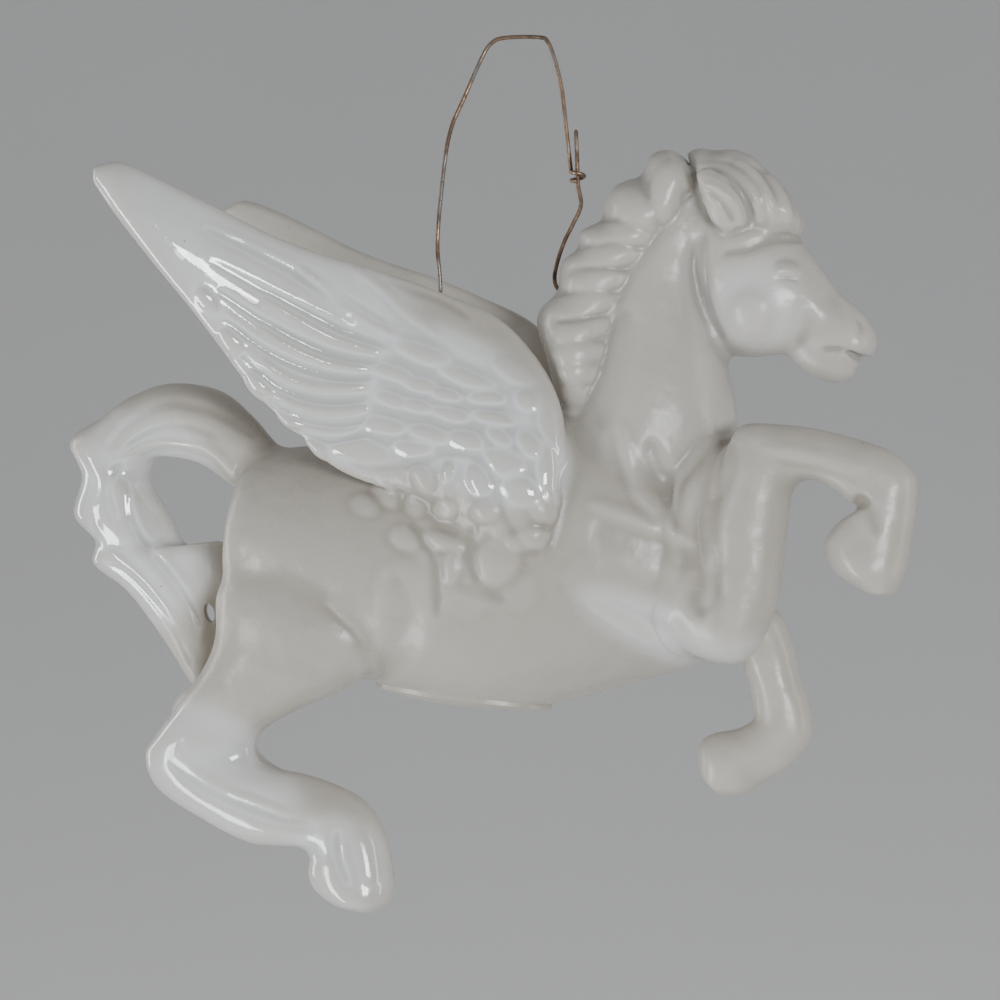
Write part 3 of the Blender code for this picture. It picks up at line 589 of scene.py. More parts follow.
# A cut face counts as outside when it faces as the skin does, or is a sliver of fewer mm2 than this
FACING_OUT = 0.3
SLIVER = 0.02
NEAREST = 1e-6
SKIN = {}


def drawing_places(points):
    """Where points show on the side drawing. Those on the left side are mirrored to the right."""
    spots = points.copy()
    spots[:, 1] = -np.abs(spots[:, 1])
    spots -= np.array(VIEW_CENTRE)
    right = np.array((math.cos(VIEW_TURN), math.sin(VIEW_TURN), 0))
    away = np.array((-math.sin(VIEW_TURN), math.cos(VIEW_TURN), 0))
    scale = VIEW_DISTANCE / (VIEW_DISTANCE + spots @ away) / DRAWING_UNIT
    return np.column_stack(
        (DRAWING_MIDDLE + spots @ right * scale, DRAWING_MIDDLE - spots[:, 2] * scale)
    )


def facing(points, normals):
    """How far each spot of the surface faces the side drawing, from 0 to 1."""
    away = np.array((-math.sin(VIEW_TURN), math.cos(VIEW_TURN), 0))
    turned = normals.copy()
    turned[:, 1] *= np.where(points[:, 1] > 0, -1, 1)
    return np.clip(-turned @ away / FULLY_FACING, 0, 1)


def stroke_rise(spots, stroke):
    """The spots near a stroke, and how far it lifts each: most along its middle, less at its ends."""
    height, radius, *line = stroke
    line = np.array(between(line, STROKE_STEPS))
    inside = (spots > line.min(0) - radius) & (spots < line.max(0) + radius)
    near = np.flatnonzero(inside.all(1))
    reach = np.full(len(near), np.inf)
    share = np.zeros(len(near))
    for k, (start, end) in enumerate(zip(line, line[1:])):
        run = end - start
        t = np.clip((spots[near] - start) @ run / (run @ run), 0, 1)
        distance = np.linalg.norm(spots[near] - start - t[:, None] * run, axis=1)
        closer = distance < reach
        reach[closer] = distance[closer]
        share[closer] = (k + t[closer]) / (len(line) - 1)
    taper = STROKE_TIP + (1 - STROKE_TIP) * np.sqrt(4 * share * (1 - share))
    across = np.clip(reach / (radius * taper), 0, 1)
    return near, height * taper * (1 - across**2) ** 2


def lobe_rise(spots, lobe):
    """The spots on an oval lobe, and how far it lifts each: a low cushion with a clear edge."""
    x, y, half_long, half_wide, turn, height = lobe
    near = np.flatnonzero(np.linalg.norm(spots - (x, y), axis=1) < max(half_long, half_wide))
    turn = math.radians(turn)
    along = (spots[near] - (x, y)) @ (math.cos(turn), math.sin(turn)) / half_long
    across = (spots[near] - (x, y)) @ (-math.sin(turn), math.cos(turn)) / half_wide
    return near, height * np.clip(1 - along**2 - across**2, 0, 1) ** LOBE_SHAPE


def pressed(points, normals, owners, names):
    """The points after every stroke and lobe has lifted or sunk the forms that it belongs to."""
    spots = drawing_places(points)
    front = facing(points, normals)
    total = np.zeros(len(points))
    for forms, only_front, strokes, lobes in SCULPTING:
        on = np.isin(owners, [names.index(form) for form in forms])
        weight = front[on] if only_front else np.ones(on.sum())
        here = spots[on]
        lift = np.zeros(len(here))
        lobed = np.zeros(len(here))
        for stroke in strokes:
            near, rise = stroke_rise(here, stroke)
            lift[near] += rise
        for lobe in lobes:
            near, rise = lobe_rise(here, lobe)
            lobed[near] = np.where(np.abs(rise) > np.abs(lobed[near]), rise, lobed[near])
        total[on] += (lift + lobed) * weight
    return points + normals * total[:, None]


def blend_weights(owners, names, edges, degree):
    """How strongly each point is smoothed: most where two forms that flow together meet."""
    table = np.full((len(names), len(names)), BLEND_OTHERS)
    for first, second, strength in BLENDS:
        for i in (i for i, name in enumerate(names) if name.startswith(first)):
            for j in (j for j, name in enumerate(names) if name.startswith(second)):
                table[i, j] = table[j, i] = strength
    first, second = owners[edges[:, 0]], owners[edges[:, 1]]
    met = first != second
    seeds = np.zeros(len(owners))
    for end in edges[met].T:
        np.maximum.at(seeds, end, table[first[met], second[met]])
    weights = seeds
    for _ in range(BLEND_SPREAD):
        weights = np.maximum(averaged(weights, edges, degree), seeds)
    return weights


def glaze_thickness_and_light(points, normals, owners, names):
    """Where the glaze lies thick and where painted light falls on the parts that face the view, from 0
    to 1.
    """
    spots = drawing_places(points)
    front = facing(points, normals)
    thick = np.zeros(len(points))
    for forms, lobes in THICK_AND_LIT_GLAZE:
        on = np.isin(owners, [names.index(form) for form in forms]) if forms else front >= 0
        here = np.flatnonzero(on)
        for lobe in lobes:
            near, share = lobe_rise(spots[here], lobe)
            # Only the parts that face the view get the share, and with it the painted light
            share = np.clip(share * 2, 0, lobe[-1]) * front[here[near]]
            thick[here[near]] = np.maximum(thick[here[near]], share)
    return thick


def surface_tree(mesh):
    """A tree that finds the nearest place on a mesh."""
    clay = bmesh.new()
    clay.from_mesh(mesh)
    tree = BVHTree.FromBMesh(clay)
    clay.free()
    return tree


def sculpted():
    """The whole horse as one pressed and blended skin, before it is hollowed and cut."""
    rows = form_rows()
    names = [*rows, "cheek", "chest_filler"]
    forms = [form_loft(name, rows[name]) for name in rows]
    forms += [cheek_ball(), form_loft("chest_filler", CHEST_FILLER)]
    blank, face_owners = joined("blank", forms)
    grain = GRAIN
    skin = shaped(blank, "REMESH", mode="VOXEL", voxel_size=grain)
    points, edges = points_of(skin), read(skin.edges, "vertices", 2, np.int32)
    degree = np.bincount(edges.ravel(), minlength=len(points)).astype(float)
    tree = surface_tree(blank)
    owners = np.array([face_owners[tree.find_nearest(Vector(p))[2]] for p in points])

    def spread(values, rounds, weight, least=1):
        rounds = max(least, round(rounds * (GRAIN / grain) ** 2))
        return smoothed(values, edges, degree, rounds, weight)

    points = spread(points, SOFTEN_ROUNDS, 0.5)
    weights = blend_weights(owners, names, edges, degree)[:, None]
    for turn in range(BLEND_TIMES):
        points = spread(points, BLEND_ROUNDS, np.clip(weights - turn, 0, 1) * BLEND_PULL)
    move_points(skin, points)
    points = pressed(points, normals_of(skin), owners, names)
    points = spread(points, FINISH_ROUNDS, 0.5)
    move_points(skin, points)

    # How deep each point lies in a fold, which the material turns into painted shade in folds and
    # painted light on ridges, and how thick the glaze is, which also marks the patches of painted light
    normals = normals_of(skin)
    around = spread(points, FOLD_ROUNDS, 1.0, least=2)
    depth = spread(np.einsum("ij,ij->i", around - points, normals), FOLD_ROUNDS, 0.5)
    # The thickness share also marks where painted light falls
    thick = spread(glaze_thickness_and_light(points, normals, owners, names), THICK_ROUNDS, 0.5, least=2)
    coated(skin, np.column_stack((depth, thick, thick * 0)))
    for mesh in (*forms, blank):
        bpy.data.meshes.remove(mesh)
    return skin


def rod(place, count=32, depth=CUTTER_DEPTH, ends=(1, 1)):
    """An upright round cutter, laid by this matrix. The radius at each end is given."""
    clay = bmesh.new()
    bmesh.ops.create_cone(
        clay, cap_ends=True, segments=count, radius1=ends[0], radius2=ends[1], depth=depth, matrix=place
    )
    return finished(clay, "rod")


def plug(extra=0.0):
    """An upright oval plug through the belly, wider than the opening by this much all round."""
    half_long, half_wide = (size / 2 + extra for size in POUR_SIZE)
    place = (
        Matrix.Translation((POUR_MIDDLE[0], 0, POUR_MIDDLE[1]))
        @ Matrix.Rotation(POUR_TILT, 4, "Y")
        @ Matrix.Diagonal((half_long, half_wide, 1, 1))
    )
    return rod(place, 96)


def bore(hole, lean, below, above, flare=0.0):
    """A round cutter along the wire, from below the hole to above it."""
    axis = Vector((lean[0], 0, lean[1])).normalized()
    turn = Vector((0, 0, 1)).rotation_difference(axis).to_matrix().to_4x4()
    middle = Vector((hole[0], 0, hole[1])) + axis * (above - below) / 2
    ends = (HOLE_RADIUS + flare * below, HOLE_RADIUS)
    return rod(Matrix.Translation(middle) @ turn, depth=above + below, ends=ends)


def cavity(wall):
    """What the clay is hollowed by: body and neck inside their walls, pour opening and wire holes."""
    hollow = form_loft("trunk", FORMS["trunk"][1:-1], -wall)
    for other in (
        form_loft("neck", [NECK_HOLLOW_START, *FORMS["neck"][:NECK_HOLLOW_ROWS]], -wall),
        plug(),
        bore(BACK_HOLE, (0, 1), BORE_INSIDE, BORE_OUTSIDE),
        bore(CREST_HOLE, CREST_LEAN, CREST_MOUTH, BORE_OUTSIDE),
        bore(CREST_HOLE, CREST_LEAN, CREST_REACH, 0, CREST_FLARE),
    ):
        hollow = combined(hollow, other, "UNION")
    return hollow


def tail_gap():
    """The small gap between the tail's tip and the thigh, cut along the line of sight."""
    return rod(
        Matrix.Translation((TAIL_GAP[0], 0, TAIL_GAP[1]))
        @ Matrix.Rotation(VIEW_TURN, 4, "Z")
        @ Matrix.Rotation(math.pi / 2, 4, "X")
        @ Matrix.Rotation(TAIL_GAP_TURN, 4, "Z")
        @ Matrix.Diagonal((*TAIL_GAP_HALVES, 1, 1))
    )


def hollowed(skin, wall, rim_width):
    """The clay with its bare rim round the pour opening, and its holes."""
    skin = combined(skin, tail_gap(), "DIFFERENCE")
    rim = combined(form_loft("trunk", FORMS["trunk"], POUR_PROUD), plug(rim_width), "INTERSECT")
    return combined(combined(skin, rim, "UNION"), cavity(wall), "DIFFERENCE")


def skin_of():
    """The tree, normals and glaze of the whole skin, made once."""
    if not SKIN:
        mesh = bpy.data.meshes["skin"]
        SKIN.update(
            tree=surface_tree(mesh), points=points_of(mesh), normals=normals_of(mesh),
            glaze=read(mesh.attributes["glaze"].data, "vector", 3),
            faces=[tuple(face.vertices) for face in mesh.polygons],
        )
    return SKIN


def dressed(mesh):
    """Gives a piece the whole skin's normals and glaze, so that no seam shows between pieces."""
    skin = skin_of()
    count = len(mesh.vertices)
    normals, glaze, on_skin = np.zeros((count, 3)), np.zeros((count, 3)), np.zeros(count, bool)
    for i, point in enumerate(points_of(mesh)):
        place, _, index, distance = skin["tree"].find_nearest(Vector(point))
        corners = list(skin["faces"][index])
        away = np.linalg.norm(skin["points"][corners] - np.array(place), axis=1)
        share = 1 / (away**2 + NEAREST)
        share /= share.sum()
        normals[i] = share @ skin["normals"][corners]
        glaze[i] = share @ skin["glaze"][corners]
        on_skin[i] = distance < SEAM_REACH
    normals /= np.linalg.norm(normals, axis=1)[:, None]
    outside = np.zeros(len(mesh.polygons), bool)
    loop_normals = np.zeros((len(mesh.loops), 3))
    for face in mesh.polygons:
        corners = list(face.vertices)
        facing_out = face.normal.dot(normals[corners].mean(0)) > FACING_OUT
        if on_skin[corners].all() and (facing_out or face.area < SLIVER):
            outside[face.index] = True
            loop_normals[list(face.loop_indices)] = normals[corners]
        face.use_smooth = True
    clay = bmesh.new()
    clay.from_mesh(mesh)
    clay.faces.ensure_lookup_table()
    for face in clay.faces:
        face.material_index = int(not outside[face.index])
    for edge in clay.edges:
        inner = [face for face in edge.link_faces if not outside[face.index]]
        if len(inner) == 1 or (inner and edge.calc_face_angle(0) > SHARP_ANGLE):
            edge.smooth = False
    clay.to_mesh(mesh)
    clay.free()
    coated(mesh, glaze)
    mesh.normals_split_custom_set(loop_normals)


def parted(mesh):
    """The biggest closed part of a mesh, and the small ones that the cutter also caught."""
    clay = bmesh.new()
    clay.from_mesh(mesh)
    left, parts = set(clay.verts), []
    while left:
        part = front = {left.pop()}
        while front:
            near = {edge.other_vert(vert) for vert in front for edge in vert.link_edges}
            front = near & left
            left -= front
            part = part | front
        parts.append(part)
    parts.sort(key=len)
    crumbs = None
    if len(parts) > 1:
        other = clay.copy()
        keep = {vert.index for vert in parts[-1]}
        drop = [vert for vert in other.verts if vert.index in keep]
        bmesh.ops.delete(other, geom=drop, context="VERTS")
        crumbs = finished(other, "crumbs")
        small = [vert for part in parts[:-1] for vert in part]
        bmesh.ops.delete(clay, geom=small, context="VERTS")
    clay.to_mesh(mesh)
    clay.free()
    return mesh, crumbs


def cut_piece(name, forms, node, grow=CUT_GROW):
    """Cuts one piece out of the clay with its own forms, moved out by this many millimetres."""
    rows = form_rows()
    cutter = None
    for form in forms:
        one = cheek_ball(grow) if form == "cheek" else form_loft(form, rows[form], grow)
        cutter = combined(cutter, one, "UNION") if cutter else one
    clay = bpy.data.meshes["clay"]
    piece, crumbs = parted(combined(clay, cutter, "INTERSECT"))
    rest = combined(clay, cutter, "DIFFERENCE")
    if crumbs:
        rest = combined(rest, crumbs, "UNION")
    bpy.data.meshes.remove(clay)
    rest.name = "clay"
    place_piece(name, piece, node)


def place_piece(name, mesh, node):
    """Turns a cut mesh into a finished piece on the figure."""
    dressed(mesh)
    mesh.transform(Matrix.Scale(MM, 4))
    mesh.name = name
    piece = placed(name, mesh)
    mesh.materials.clear()
    for material in ("white_glaze", "bare_clay"):
        mesh.materials.append(bpy.data.materials[material])
    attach(piece, "figure")
    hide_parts(node)


# The hanger wire, in x and z. The loop's heights are the wire's underside.
WIRE = 1.0
WIRE_LOOP = (
    (-18.0, -88.5), (-18.0, -60.0), (-18.7, -47.0), (-16.9, -28.5), (-15.2, -20.5),
    (-12.5, -14.5), (-8.0, -4.7), (-5.5, -1.1), (-2.0, 0.0), (6.0, -0.2),
    (8.0, -1.4), (9.6, -5.5), (11.3, -12.5), (12.2, -20.0), (12.9, -26.5),
)
WIRE_TIE = (
    (14.7, -21.7), (15.0, -28.8), (15.2, -34.5), (15.9, -39.4), (13.9, -44.0), (12.1, -47.5),
    (10.4, -52.2), (9.6, -56.7),
)
WIRE_INSIDE = (
    (16.0, -62.0), (20.5, -64.8), (24.0, -69.5), (26.0, -77.0), (25.0, -87.0), (19.0, -96.5),
    (8.0, -102.5), (-5.0, -104.5), (-14.0, -103.0), (-17.6, -99.5),
)
WIRE_STEPS = 10
WIRE_ROUND = 16
WIRE_TIP = 0.6
WRAP_START = (15.1, -31.5)
WRAP_LEAN = 0.05
WRAP_GAP = 0.5
WRAP_TURNS = 1.25
WRAP_PITCH = 2.0
WRAP_POINTS = 32


def wire_path(thick):
    """The wire's middle line, from its free end down through the figure and back up to its hook."""
    loop = [(x, z + thick / 2) for x, z in WIRE_LOOP]
    line = [*WIRE_TIE, CREST_HOLE, *WIRE_INSIDE, BACK_HOLE, *loop]
    path = [Vector((x, 0, z)) for x, z in between(line, WIRE_STEPS)]
    radius = thick + WRAP_GAP
    for i in range(round(WRAP_TURNS * WRAP_POINTS) + 1):
        angle = math.pi + math.tau * i / WRAP_POINTS
        drop = WRAP_PITCH * i / WRAP_POINTS
        start = Vector((WRAP_START[0] + WRAP_LEAN * drop, 0, WRAP_START[1] - drop))
        path.append(start + Vector((radius * math.cos(angle), radius * math.sin(angle), 0)))
    return path


def swept(clay, path, radius):
    """Adds a closed round tube along a path, its ends slightly rounded over."""
    upright = Vector((0, 0, 1))
    turn = upright.rotation_difference(path[1] - path[0])
    places = []
    for i, point in enumerate(path):
        ahead = path[min(i + 1, len(path) - 1)] - path[max(i - 1, 0)]
        turn = (turn @ upright).rotation_difference(ahead) @ turn
        size = radius * (WIRE_TIP if i in (0, len(path) - 1) else 1)
        places.append(Matrix.Translation(point) @ turn.to_matrix().to_4x4() @ Matrix.Scale(size, 4))
    bridged(clay, places, WIRE_ROUND)


# Shares of the thickness between which the glaze turns from satin to gloss
GLOSS_RANGE = (0.55, 0.8)
PIT_COLOUR = (0.35, 0.31, 0.27)
RUBBED_COLOUR = (0.27, 0.25, 0.235)


def new_material(name):
    """The node tree and the Principled shader of a new material."""
    material = bpy.data.materials.new(name)
    material.use_nodes = True
    tree = material.node_tree
    return tree, tree.nodes["Principled BSDF"]


def fill(tree, node, **settings):
    """Sets a node's properties, and its sockets to values or to other nodes' outputs."""
    for name, value in settings.items():
        socket = name.replace("_", " ")
        if name in node.bl_rna.properties:
            setattr(node, name, value)
        elif isinstance(value, bpy.types.NodeSocket):
            tree.links.new(value, node.inputs[socket])
        else:
            node.inputs[socket].default_value = value
    return node


def add_node(tree, kind, **settings):
    """Adds a node with these properties and sockets."""
    return fill(tree, tree.nodes.new(kind), **settings)


def on_object(tree, kind, **settings):
    """Adds a texture that lies over the object's own coordinates. Its scale counts in a metre."""
    place = add_node(tree, "ShaderNodeTexCoord").outputs["Object"]
    return add_node(tree, kind, Vector=place, **settings)


def noise(tree, scale, detail=2.0, roughness=0.5):
    """Soft noise between 0 and 1."""
    made = on_object(tree, "ShaderNodeTexNoise", Scale=scale, Detail=detail, Roughness=roughness)
    return made.outputs["Fac"]


def ramp(tree, value, low, high, start, end):
    """Turns a value between low and high into one between start and end."""
    made = add_node(
        tree, "ShaderNodeMapRange", Value=value, From_Min=low, From_Max=high, To_Min=start, To_Max=end
    )
    return made.outputs["Result"]


def patches(tree, scale, detail=2.0, low=0.3, high=0.7, start=0.0, end=1.0, roughness=0.5):
    """Noise as patches, whose edges lie between low and high."""
    return ramp(tree, noise(tree, scale, detail, roughness), low, high, start, end)


def sum_of(tree, operation, first, second):
    """A sum with two values, the second of which may be a plain number."""
    made = add_node(tree, "ShaderNodeMath", operation=operation, Value=first)
    if isinstance(second, bpy.types.NodeSocket):
        tree.links.new(second, made.inputs[1])
    else:
        made.inputs[1].default_value = second
    return made.outputs[0]


def mixed(tree, share, first, second, blend="MIX"):
    """Two colours mixed. Each is a colour or another node's output, and so is the share."""
    made = add_node(tree, "ShaderNodeMix", data_type="RGBA", blend_type=blend)
    for socket, value in zip((made.inputs[0], made.inputs[6], made.inputs[7]), (share, first, second)):
        if isinstance(value, bpy.types.NodeSocket):
            tree.links.new(value, socket)
        elif isinstance(value, float):
            socket.default_value = value
        else:
            socket.default_value = (*value, 1)
    return made.outputs[2]


def bump(tree, shader, height, distance, **normal):
    """Raises the surface by this height times this many metres, for light alone."""
    made = add_node(tree, "ShaderNodeBump", Height=height, Distance=distance, Strength=1.0, **normal)
    fill(tree, shader, Normal=made.outputs["Normal"])
    return made.outputs["Normal"]


def specks(tree, per_metre, share, size):
    """A mask of scattered round specks: this share of the cells holds one, size of a cell wide."""
    cells = on_object(tree, "ShaderNodeTexVoronoi", Scale=per_metre)
    near = ramp(tree, cells.outputs["Distance"], size * 0.5, size, 1.0, 0.0)
    parts = add_node(tree, "ShaderNodeSeparateColor", Color=cells.outputs["Color"])
    chosen = sum_of(tree, "LESS_THAN", parts.outputs["Red"], share)
    return sum_of(tree, "MULTIPLY", near, chosen)


def white_glaze(look):
    """Glossy white glaze: warm where it is thin, lighter and cooler with painted light where it is
    marked thick, darker in a fold with pooled glaze and painted shade, and lighter on ridges with
    painted light.
    """
    tree, shader = new_material("white_glaze")
    coat = add_node(tree, "ShaderNodeAttribute", attribute_name="glaze").outputs["Vector"]
    coat = add_node(tree, "ShaderNodeSeparateXYZ", Vector=coat)
    fold, thick = coat.outputs["X"], coat.outputs["Y"]
    glaze, pool, thin = (Vector(c) for c in (look.glaze_colour, look.pool_and_shade_colour, look.thin_and_lit_colour))
    # Painted light: the patches marked as thick glaze turn lighter and cooler
    colour = mixed(tree, thick, glaze, Vector(look.thick_and_lit_colour))
    # Painted light: ridges turn lighter, where the glaze also breaks thin
    colour = mixed(tree, ramp(tree, fold, 0.0, -FOLD_DEPTH, 0.0, 0.6), colour, thin)
    # Painted shade: folds turn darker, where the glaze also pools
    colour = mixed(tree, ramp(tree, fold, 0.0, FOLD_DEPTH, 0.0, 1.0), colour, pool, "MULTIPLY")
    cloud = patches(tree, 32.0, 3.0, low=0.35, start=1.0, end=0.955)
    colour = mixed(tree, 1.0, colour, cloud, "MULTIPLY")
    colour = mixed(tree, specks(tree, 330.0, look.pinholes, 0.09), colour, PIT_COLOUR)
    patchy = patches(tree, 90.0, 4.0, high=0.75, start=1.0, end=1.5)
    rough = ramp(tree, thick, *GLOSS_RANGE, look.thin_roughness, look.thick_roughness)
    fill(
        tree, shader, Base_Color=colour, Roughness=sum_of(tree, "MULTIPLY", rough, patchy), IOR=1.5,
        Coat_Weight=ramp(tree, thick, *GLOSS_RANGE, 0.0, 1.0), Coat_IOR=1.85, Coat_Roughness=0.03,
    )
    pulled = bump(tree, shader, noise(tree, 130.0, 1.0), 0.0006)
    bump(tree, shader, noise(tree, 620.0, 1.0), 0.00006, Normal=pulled)


def bare_clay(look):
    """The trimmed, unglazed rim: cream, dry and finely grained, with a few darker specks."""
    tree, shader = new_material("bare_clay")
    clay = Vector(look.clay_colour)
    colour = mixed(tree, patches(tree, 260.0, 4.0), clay * 0.86, clay)
    colour = mixed(tree, specks(tree, 900.0, 0.06, 0.3), colour, clay * 0.45)
    fill(tree, shader, Base_Color=colour, Roughness=0.85)
    grain = bump(tree, shader, noise(tree, 2400.0, 3.0), 0.00012)
    bump(tree, shader, noise(tree, 420.0, 1.0), 0.0002, Normal=grain)


def worn_wire(look):
    """Copper wire, brown with oxide, bare and grey where it was bent or rubbed."""
    tree, shader = new_material("worn_wire")
    copper, oxide = Vector(look.wire_colour), Vector(look.oxide_colour)
    rust = patches(tree, 210.0, 3.0, low=0.38, high=0.62, roughness=0.6)
    colour = mixed(tree, rust, copper, oxide)
    rubbed = patches(tree, 95.0, low=0.5, high=0.62, end=0.8)
    colour = mixed(tree, rubbed, colour, RUBBED_COLOUR)
    scale = specks(tree, 1500.0, 0.25, 0.35)
    fill(
        tree, shader, Base_Color=mixed(tree, scale, colour, oxide * 0.35),
        Metallic=ramp(tree, rust, 0.0, 1.0, 1.0, 0.35), Roughness=ramp(tree, rust, 0.0, 1.0, 0.38, 0.75),
    )
    pitted = bump(tree, shader, noise(tree, 1400.0, 3.0), 0.00012)
    bump(tree, shader, scale, -0.00005, Normal=pitted)


def pale_paper(look):
    """The plain matt backdrop, with a paper's faint grain."""
    tree, shader = new_material("pale_backdrop")
    paper = Vector(look.floor_colour)
    colour = mixed(tree, patches(tree, 3.0), paper * 0.985, paper)
    fill(tree, shader, Base_Color=colour, Roughness=0.95, Specular_IOR_Level=0.2)


# The stage, in metres
STAGE_FLOOR = -0.8
STAGE_RADIUS = 0.5
STAGE_BEND = 2.6
STAGE_WALL = 1.0
STAGE_STEPS = 24
STAGE_ROUND = 128
SENSOR_WIDTH = 36

# Lights: azimuth and elevation in degrees, distance, width and height in metres, power and colour.
# A light at less than no distance stands behind the horse and shines on the backdrop.
LIGHTS = {
    "window_light": (-52, -24, 0.80, 0.16, 0.66, 4.2, (0.92, 0.97, 1.0)),
    "wing_light": (35, 2, 0.85, 0.28, 0.20, 3.9, (0.95, 0.98, 1.0)),
    "left_strip": (-100, 4, 0.75, 0.10, 0.60, 1.4, (1.0, 0.99, 0.97)),
    "right_strip": (88, 6, 0.85, 0.08, 0.60, 0.9, (1.0, 0.97, 0.93)),
    "backdrop_light": (12.5, 0, -0.8, 1.4, 1.4, 3.6, (1.0, 1.0, 1.0)),
}


def backdrop():
    """A round floor whose rim bends up into a wall, the same from every side."""
    clay = bmesh.new()
    places = []
    for k in range(STAGE_STEPS + 2):
        angle = math.pi / 2 * min(k / STAGE_STEPS, 1)
        radius = STAGE_RADIUS + STAGE_BEND * math.sin(angle)
        height = STAGE_BEND * (1 - math.cos(angle)) + (STAGE_WALL if k > STAGE_STEPS else 0)
        lifted = Matrix.Translation((0, 0, STAGE_FLOOR + height))
        places.append(lifted @ Matrix.Diagonal((radius, radius, 1, 1)))
    bridged(clay, places, STAGE_ROUND, closed=False)
    clay.faces.ensure_lookup_table()
    if clay.faces[-1].normal.z < 0:
        bmesh.ops.reverse_faces(clay, faces=clay.faces)
    for face in clay.faces:
        face.smooth = True
    mesh = finished(clay, "pale_floor")
    mesh.materials.append(bpy.data.materials["pale_backdrop"])
    return placed("pale_floor", mesh)


def soft_light(name, azimuth, elevation, distance, width, height, power, colour):
    """A box light turned to the horse, from a direction counted from the front."""
    light = bpy.data.lights.new(name, "AREA")
    light.shape = "RECTANGLE"
    light.size, light.size_y = width, height
    light.energy = power
    light.color = colour
    lamp = placed(name, light)
    turn, rise = math.radians(azimuth), math.radians(elevation)
    away = Vector(
        (math.sin(turn) * math.cos(rise), -math.cos(turn) * math.cos(rise), math.sin(rise))
    )
    lamp.location = VIEW_CENTRE * MM + away * distance
    lamp.rotation_euler = (-away).to_track_quat("-Z", "Y").to_euler()
    return lamp


def photo_camera():
    """A camera that sees the side drawing."""
    lens = bpy.data.cameras.new("photo_camera")
    lens.sensor_width = SENSOR_WIDTH
    lens.lens = SENSOR_WIDTH * VIEW_DISTANCE / (2 * DRAWING_MIDDLE * DRAWING_UNIT)
    camera = placed("photo_camera", lens)
    back = Vector((math.sin(VIEW_TURN), -math.cos(VIEW_TURN), 0)) * VIEW_DISTANCE
    camera.location = (VIEW_CENTRE + back) * MM
    camera.rotation_euler = (math.pi / 2, 0, VIEW_TURN)
    bpy.context.scene.camera = camera


def studio_air(look):
    """Plain light from all round."""
    world = bpy.data.worlds.new("studio_air")
    world.use_nodes = True
    air = world.node_tree.nodes["Background"]
    air.inputs["Color"].default_value = (0.97, 0.98, 1.0, 1)
    air.inputs["Strength"].default_value = look.air_light
    bpy.context.scene.world = world


def millimetres(length):
    """A length in metres, as the panel holds it, in millimetres."""
    return round(length / MM, 4)


def colour_choice(name, description, default):
    """A colour in the panel."""
    return bpy.props.FloatVectorProperty(
        name=name, description=description, subtype="COLOR", size=3, min=0, max=1, default=default
    )


def share_choice(name, description, default):
    """A number from 0 to 1 in the panel."""
    return bpy.props.FloatProperty(
        name=name, description=description, subtype="FACTOR", min=0, max=1, default=default
    )


def length_choice(name, description, default):
    """A length in the panel, given here in millimetres."""
    return bpy.props.FloatProperty(
        name=name, description=description, subtype="DISTANCE", unit="LENGTH", min=0, precision=4,
        default=default * MM,
    )


class OrnamentLook(bpy.types.PropertyGroup):
    """The sizes, colours and finishes that a user would change."""

    wall: length_choice("Wall", "How thick the hollow clay is", WALL)
    rim_width: length_choice("Rim", "How wide the bare rim of the opening is", POUR_RIM)
    wire_thickness: length_choice("Wire", "How thick the hanger wire is", WIRE)
    glaze_colour: colour_choice("Glaze", "The glaze where it is thin", (0.50, 0.46, 0.40))
    # The thick glaze's colour, which also paints the light on the lit patches
    thick_and_lit_colour: colour_choice("Thick glaze and light", "The glaze where it is thick", (0.88, 0.90, 0.90))
    # Darkens the folds: pooled glaze and painted shade
    pool_and_shade_colour: colour_choice("Pooled glaze and shade", "What tints the glaze in a fold", (0.78, 0.77, 0.76))
    # Lightens the ridges: thin glaze and painted light
    thin_and_lit_colour: colour_choice("Edges", "The glaze on the edges", (0.64, 0.60, 0.535))
    clay_colour: colour_choice("Bare clay", "The trimmed rim of the opening", (0.88, 0.79, 0.58))
    wire_colour: colour_choice("Copper", "The wire where it is clean", (0.36, 0.25, 0.17))
    oxide_colour: colour_choice("Oxide", "The wire where it has turned brown", (0.12, 0.08, 0.055))
    floor_colour: colour_choice("Floor", "The plain backdrop", (0.88, 0.88, 0.88))
    thick_roughness: share_choice("Thick roughness", "How soft reflections are in thick glaze", 0.08)
    thin_roughness: share_choice("Thin roughness", "How soft reflections are in thin glaze", 0.24)
    pinholes: share_choice("Pinholes", "Share of the 3 mm patches that have a pinhole", 0.02)
    air_light: share_choice("Air light", "Strength of the plain light from all round", 0.30)


class ORNAMENT_OT_clay(bpy.types.Operator):
    """Blend the forms into one clay body, press its details in and hollow it"""

    bl_idname = "ornament.clay"
    bl_label = "Clay and Materials"

    def execute(self, context):
        look = context.scene.ornament_look
        for make in (white_glaze, bare_clay, worn_wire, pale_paper):
            make(look)
        skin = sculpted()
        skin.name = "skin"
        clay = hollowed(skin, millimetres(look.wall), millimetres(look.rim_width))
        clay.name = "clay"
        return {"FINISHED"}


class ORNAMENT_OT_wings(bpy.types.Operator):
    """Cut both wings from the clay"""

    bl_idname = "ornament.wings"
    bl_label = "Wings"

    def execute(self, context):
        for side in ("right", "left"):
            cut_piece(f"feathered_wing_{side}", [f"wing_{side}"], f"wing_{side}")
        return {"FINISHED"}


class ORNAMENT_OT_ears(bpy.types.Operator):
    """Cut both ears from the clay"""

    bl_idname = "ornament.ears"
    bl_label = "Ears"

    def execute(self, context):
        for side in ("right", "left"):
            cut_piece(f"leaf_ear_{side}", [f"ear_{side}"], f"ear_{side}", EAR_GROW)
        return {"FINISHED"}


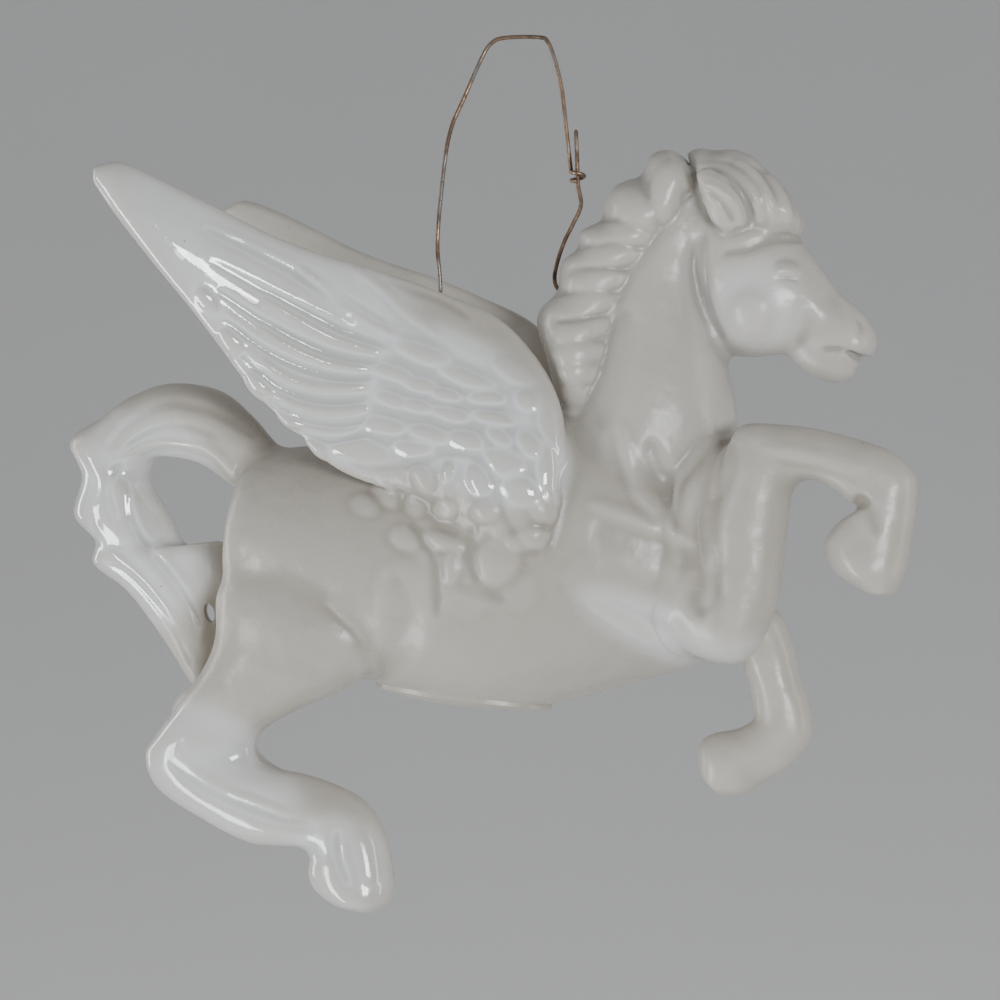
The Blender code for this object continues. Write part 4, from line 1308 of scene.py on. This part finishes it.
class ORNAMENT_OT_hair(bpy.types.Operator):
    """Cut the forelock, mane and tail from the clay"""

    bl_idname = "ornament.hair"
    bl_label = "Mane, Forelock and Tail"

    def execute(self, context):
        cut_piece("waved_forelock", ["forelock"], "forelock")
        cut_piece("waved_mane", ["mane"], "mane")
        cut_piece("curled_tail", ["tail"], "tail")
        return {"FINISHED"}


class ORNAMENT_OT_legs(bpy.types.Operator):
    """Cut the four legs from the clay"""

    bl_idname = "ornament.legs"
    bl_label = "Legs"

    def execute(self, context):
        for leg in ("foreleg_right", "foreleg_left", "hindleg_right", "hindleg_left"):
            cut_piece(f"bent_{leg}", [leg], leg)
        return {"FINISHED"}


class ORNAMENT_OT_body(bpy.types.Operator):
    """Cut the neck and head from the clay, and keep the rest as the body"""

    bl_idname = "ornament.body"
    bl_label = "Head and Body"

    def execute(self, context):
        forms = ["neck", "head", "chin", "cheek"]
        cut_piece("arched_neck_and_head", forms, "neck_and_head")
        body = bpy.data.meshes["clay"]
        place_piece("hollow_body", body, "trunk_shell")
        bpy.data.meshes.remove(bpy.data.meshes["skin"])
        return {"FINISHED"}


class ORNAMENT_OT_hanger(bpy.types.Operator):
    """Sweep the hanger wire along its line and hook its end"""

    bl_idname = "ornament.hanger"
    bl_label = "Hanger Wire"

    def execute(self, context):
        thick = millimetres(context.scene.ornament_look.wire_thickness)
        clay = bmesh.new()
        swept(clay, wire_path(thick), thick / 2)
        bmesh.ops.scale(clay, vec=(MM, MM, MM), verts=clay.verts)
        for face in clay.faces:
            face.smooth = True
        mesh = finished(clay, "hooked_wire")
        mesh.materials.append(bpy.data.materials["worn_wire"])
        piece = placed("hooked_wire", mesh)
        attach(piece, "hanger")
        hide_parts("hanger_wire")
        return {"FINISHED"}


class ORNAMENT_OT_stage(bpy.types.Operator):
    """Add the pale floor, the soft lights and the camera"""

    bl_idname = "ornament.stage"
    bl_label = "Stage"

    def execute(self, context):
        lamps = [soft_light(name, *facts) for name, facts in LIGHTS.items()]
        backdrop()
        photo_camera()
        studio_air(context.scene.ornament_look)
        return {"FINISHED"}


class ORNAMENT_PT_panel(bpy.types.Panel):
    """The steps, in order"""

    bl_idname = "ORNAMENT_PT_panel"
    bl_label = "Winged Horse Ornament"
    bl_space_type = "VIEW_3D"
    bl_region_type = "UI"
    bl_category = "Ornament"

    def draw(self, context):
        look = context.scene.ornament_look
        for name in OrnamentLook.__annotations__:
            self.layout.prop(look, name)
        for step in OPERATORS:
            self.layout.operator(step.bl_idname)


OPERATORS = (
    ORNAMENT_OT_clay, ORNAMENT_OT_wings, ORNAMENT_OT_ears, ORNAMENT_OT_hair, ORNAMENT_OT_legs,
    ORNAMENT_OT_body, ORNAMENT_OT_hanger, ORNAMENT_OT_stage,
)
CLASSES = (OrnamentLook, *OPERATORS, ORNAMENT_PT_panel)


def register():
    """Registers the classes, and gives the scene its settings."""
    for one in CLASSES:
        bpy.utils.register_class(one)
    bpy.types.Scene.ornament_look = bpy.props.PointerProperty(type=OrnamentLook)


def unregister():
    """Takes the settings and the classes away again."""
    del bpy.types.Scene.ornament_look
    for one in reversed(CLASSES):
        bpy.utils.unregister_class(one)


def main():
    """Builds the ornament in order."""
    register()
    bpy.ops.ornament.clay()
    bpy.ops.ornament.wings()
    bpy.ops.ornament.ears()
    bpy.ops.ornament.hair()
    bpy.ops.ornament.legs()
    bpy.ops.ornament.body()
    bpy.ops.ornament.hanger()
    bpy.ops.ornament.stage()


if __name__ == "__main__":
    main()
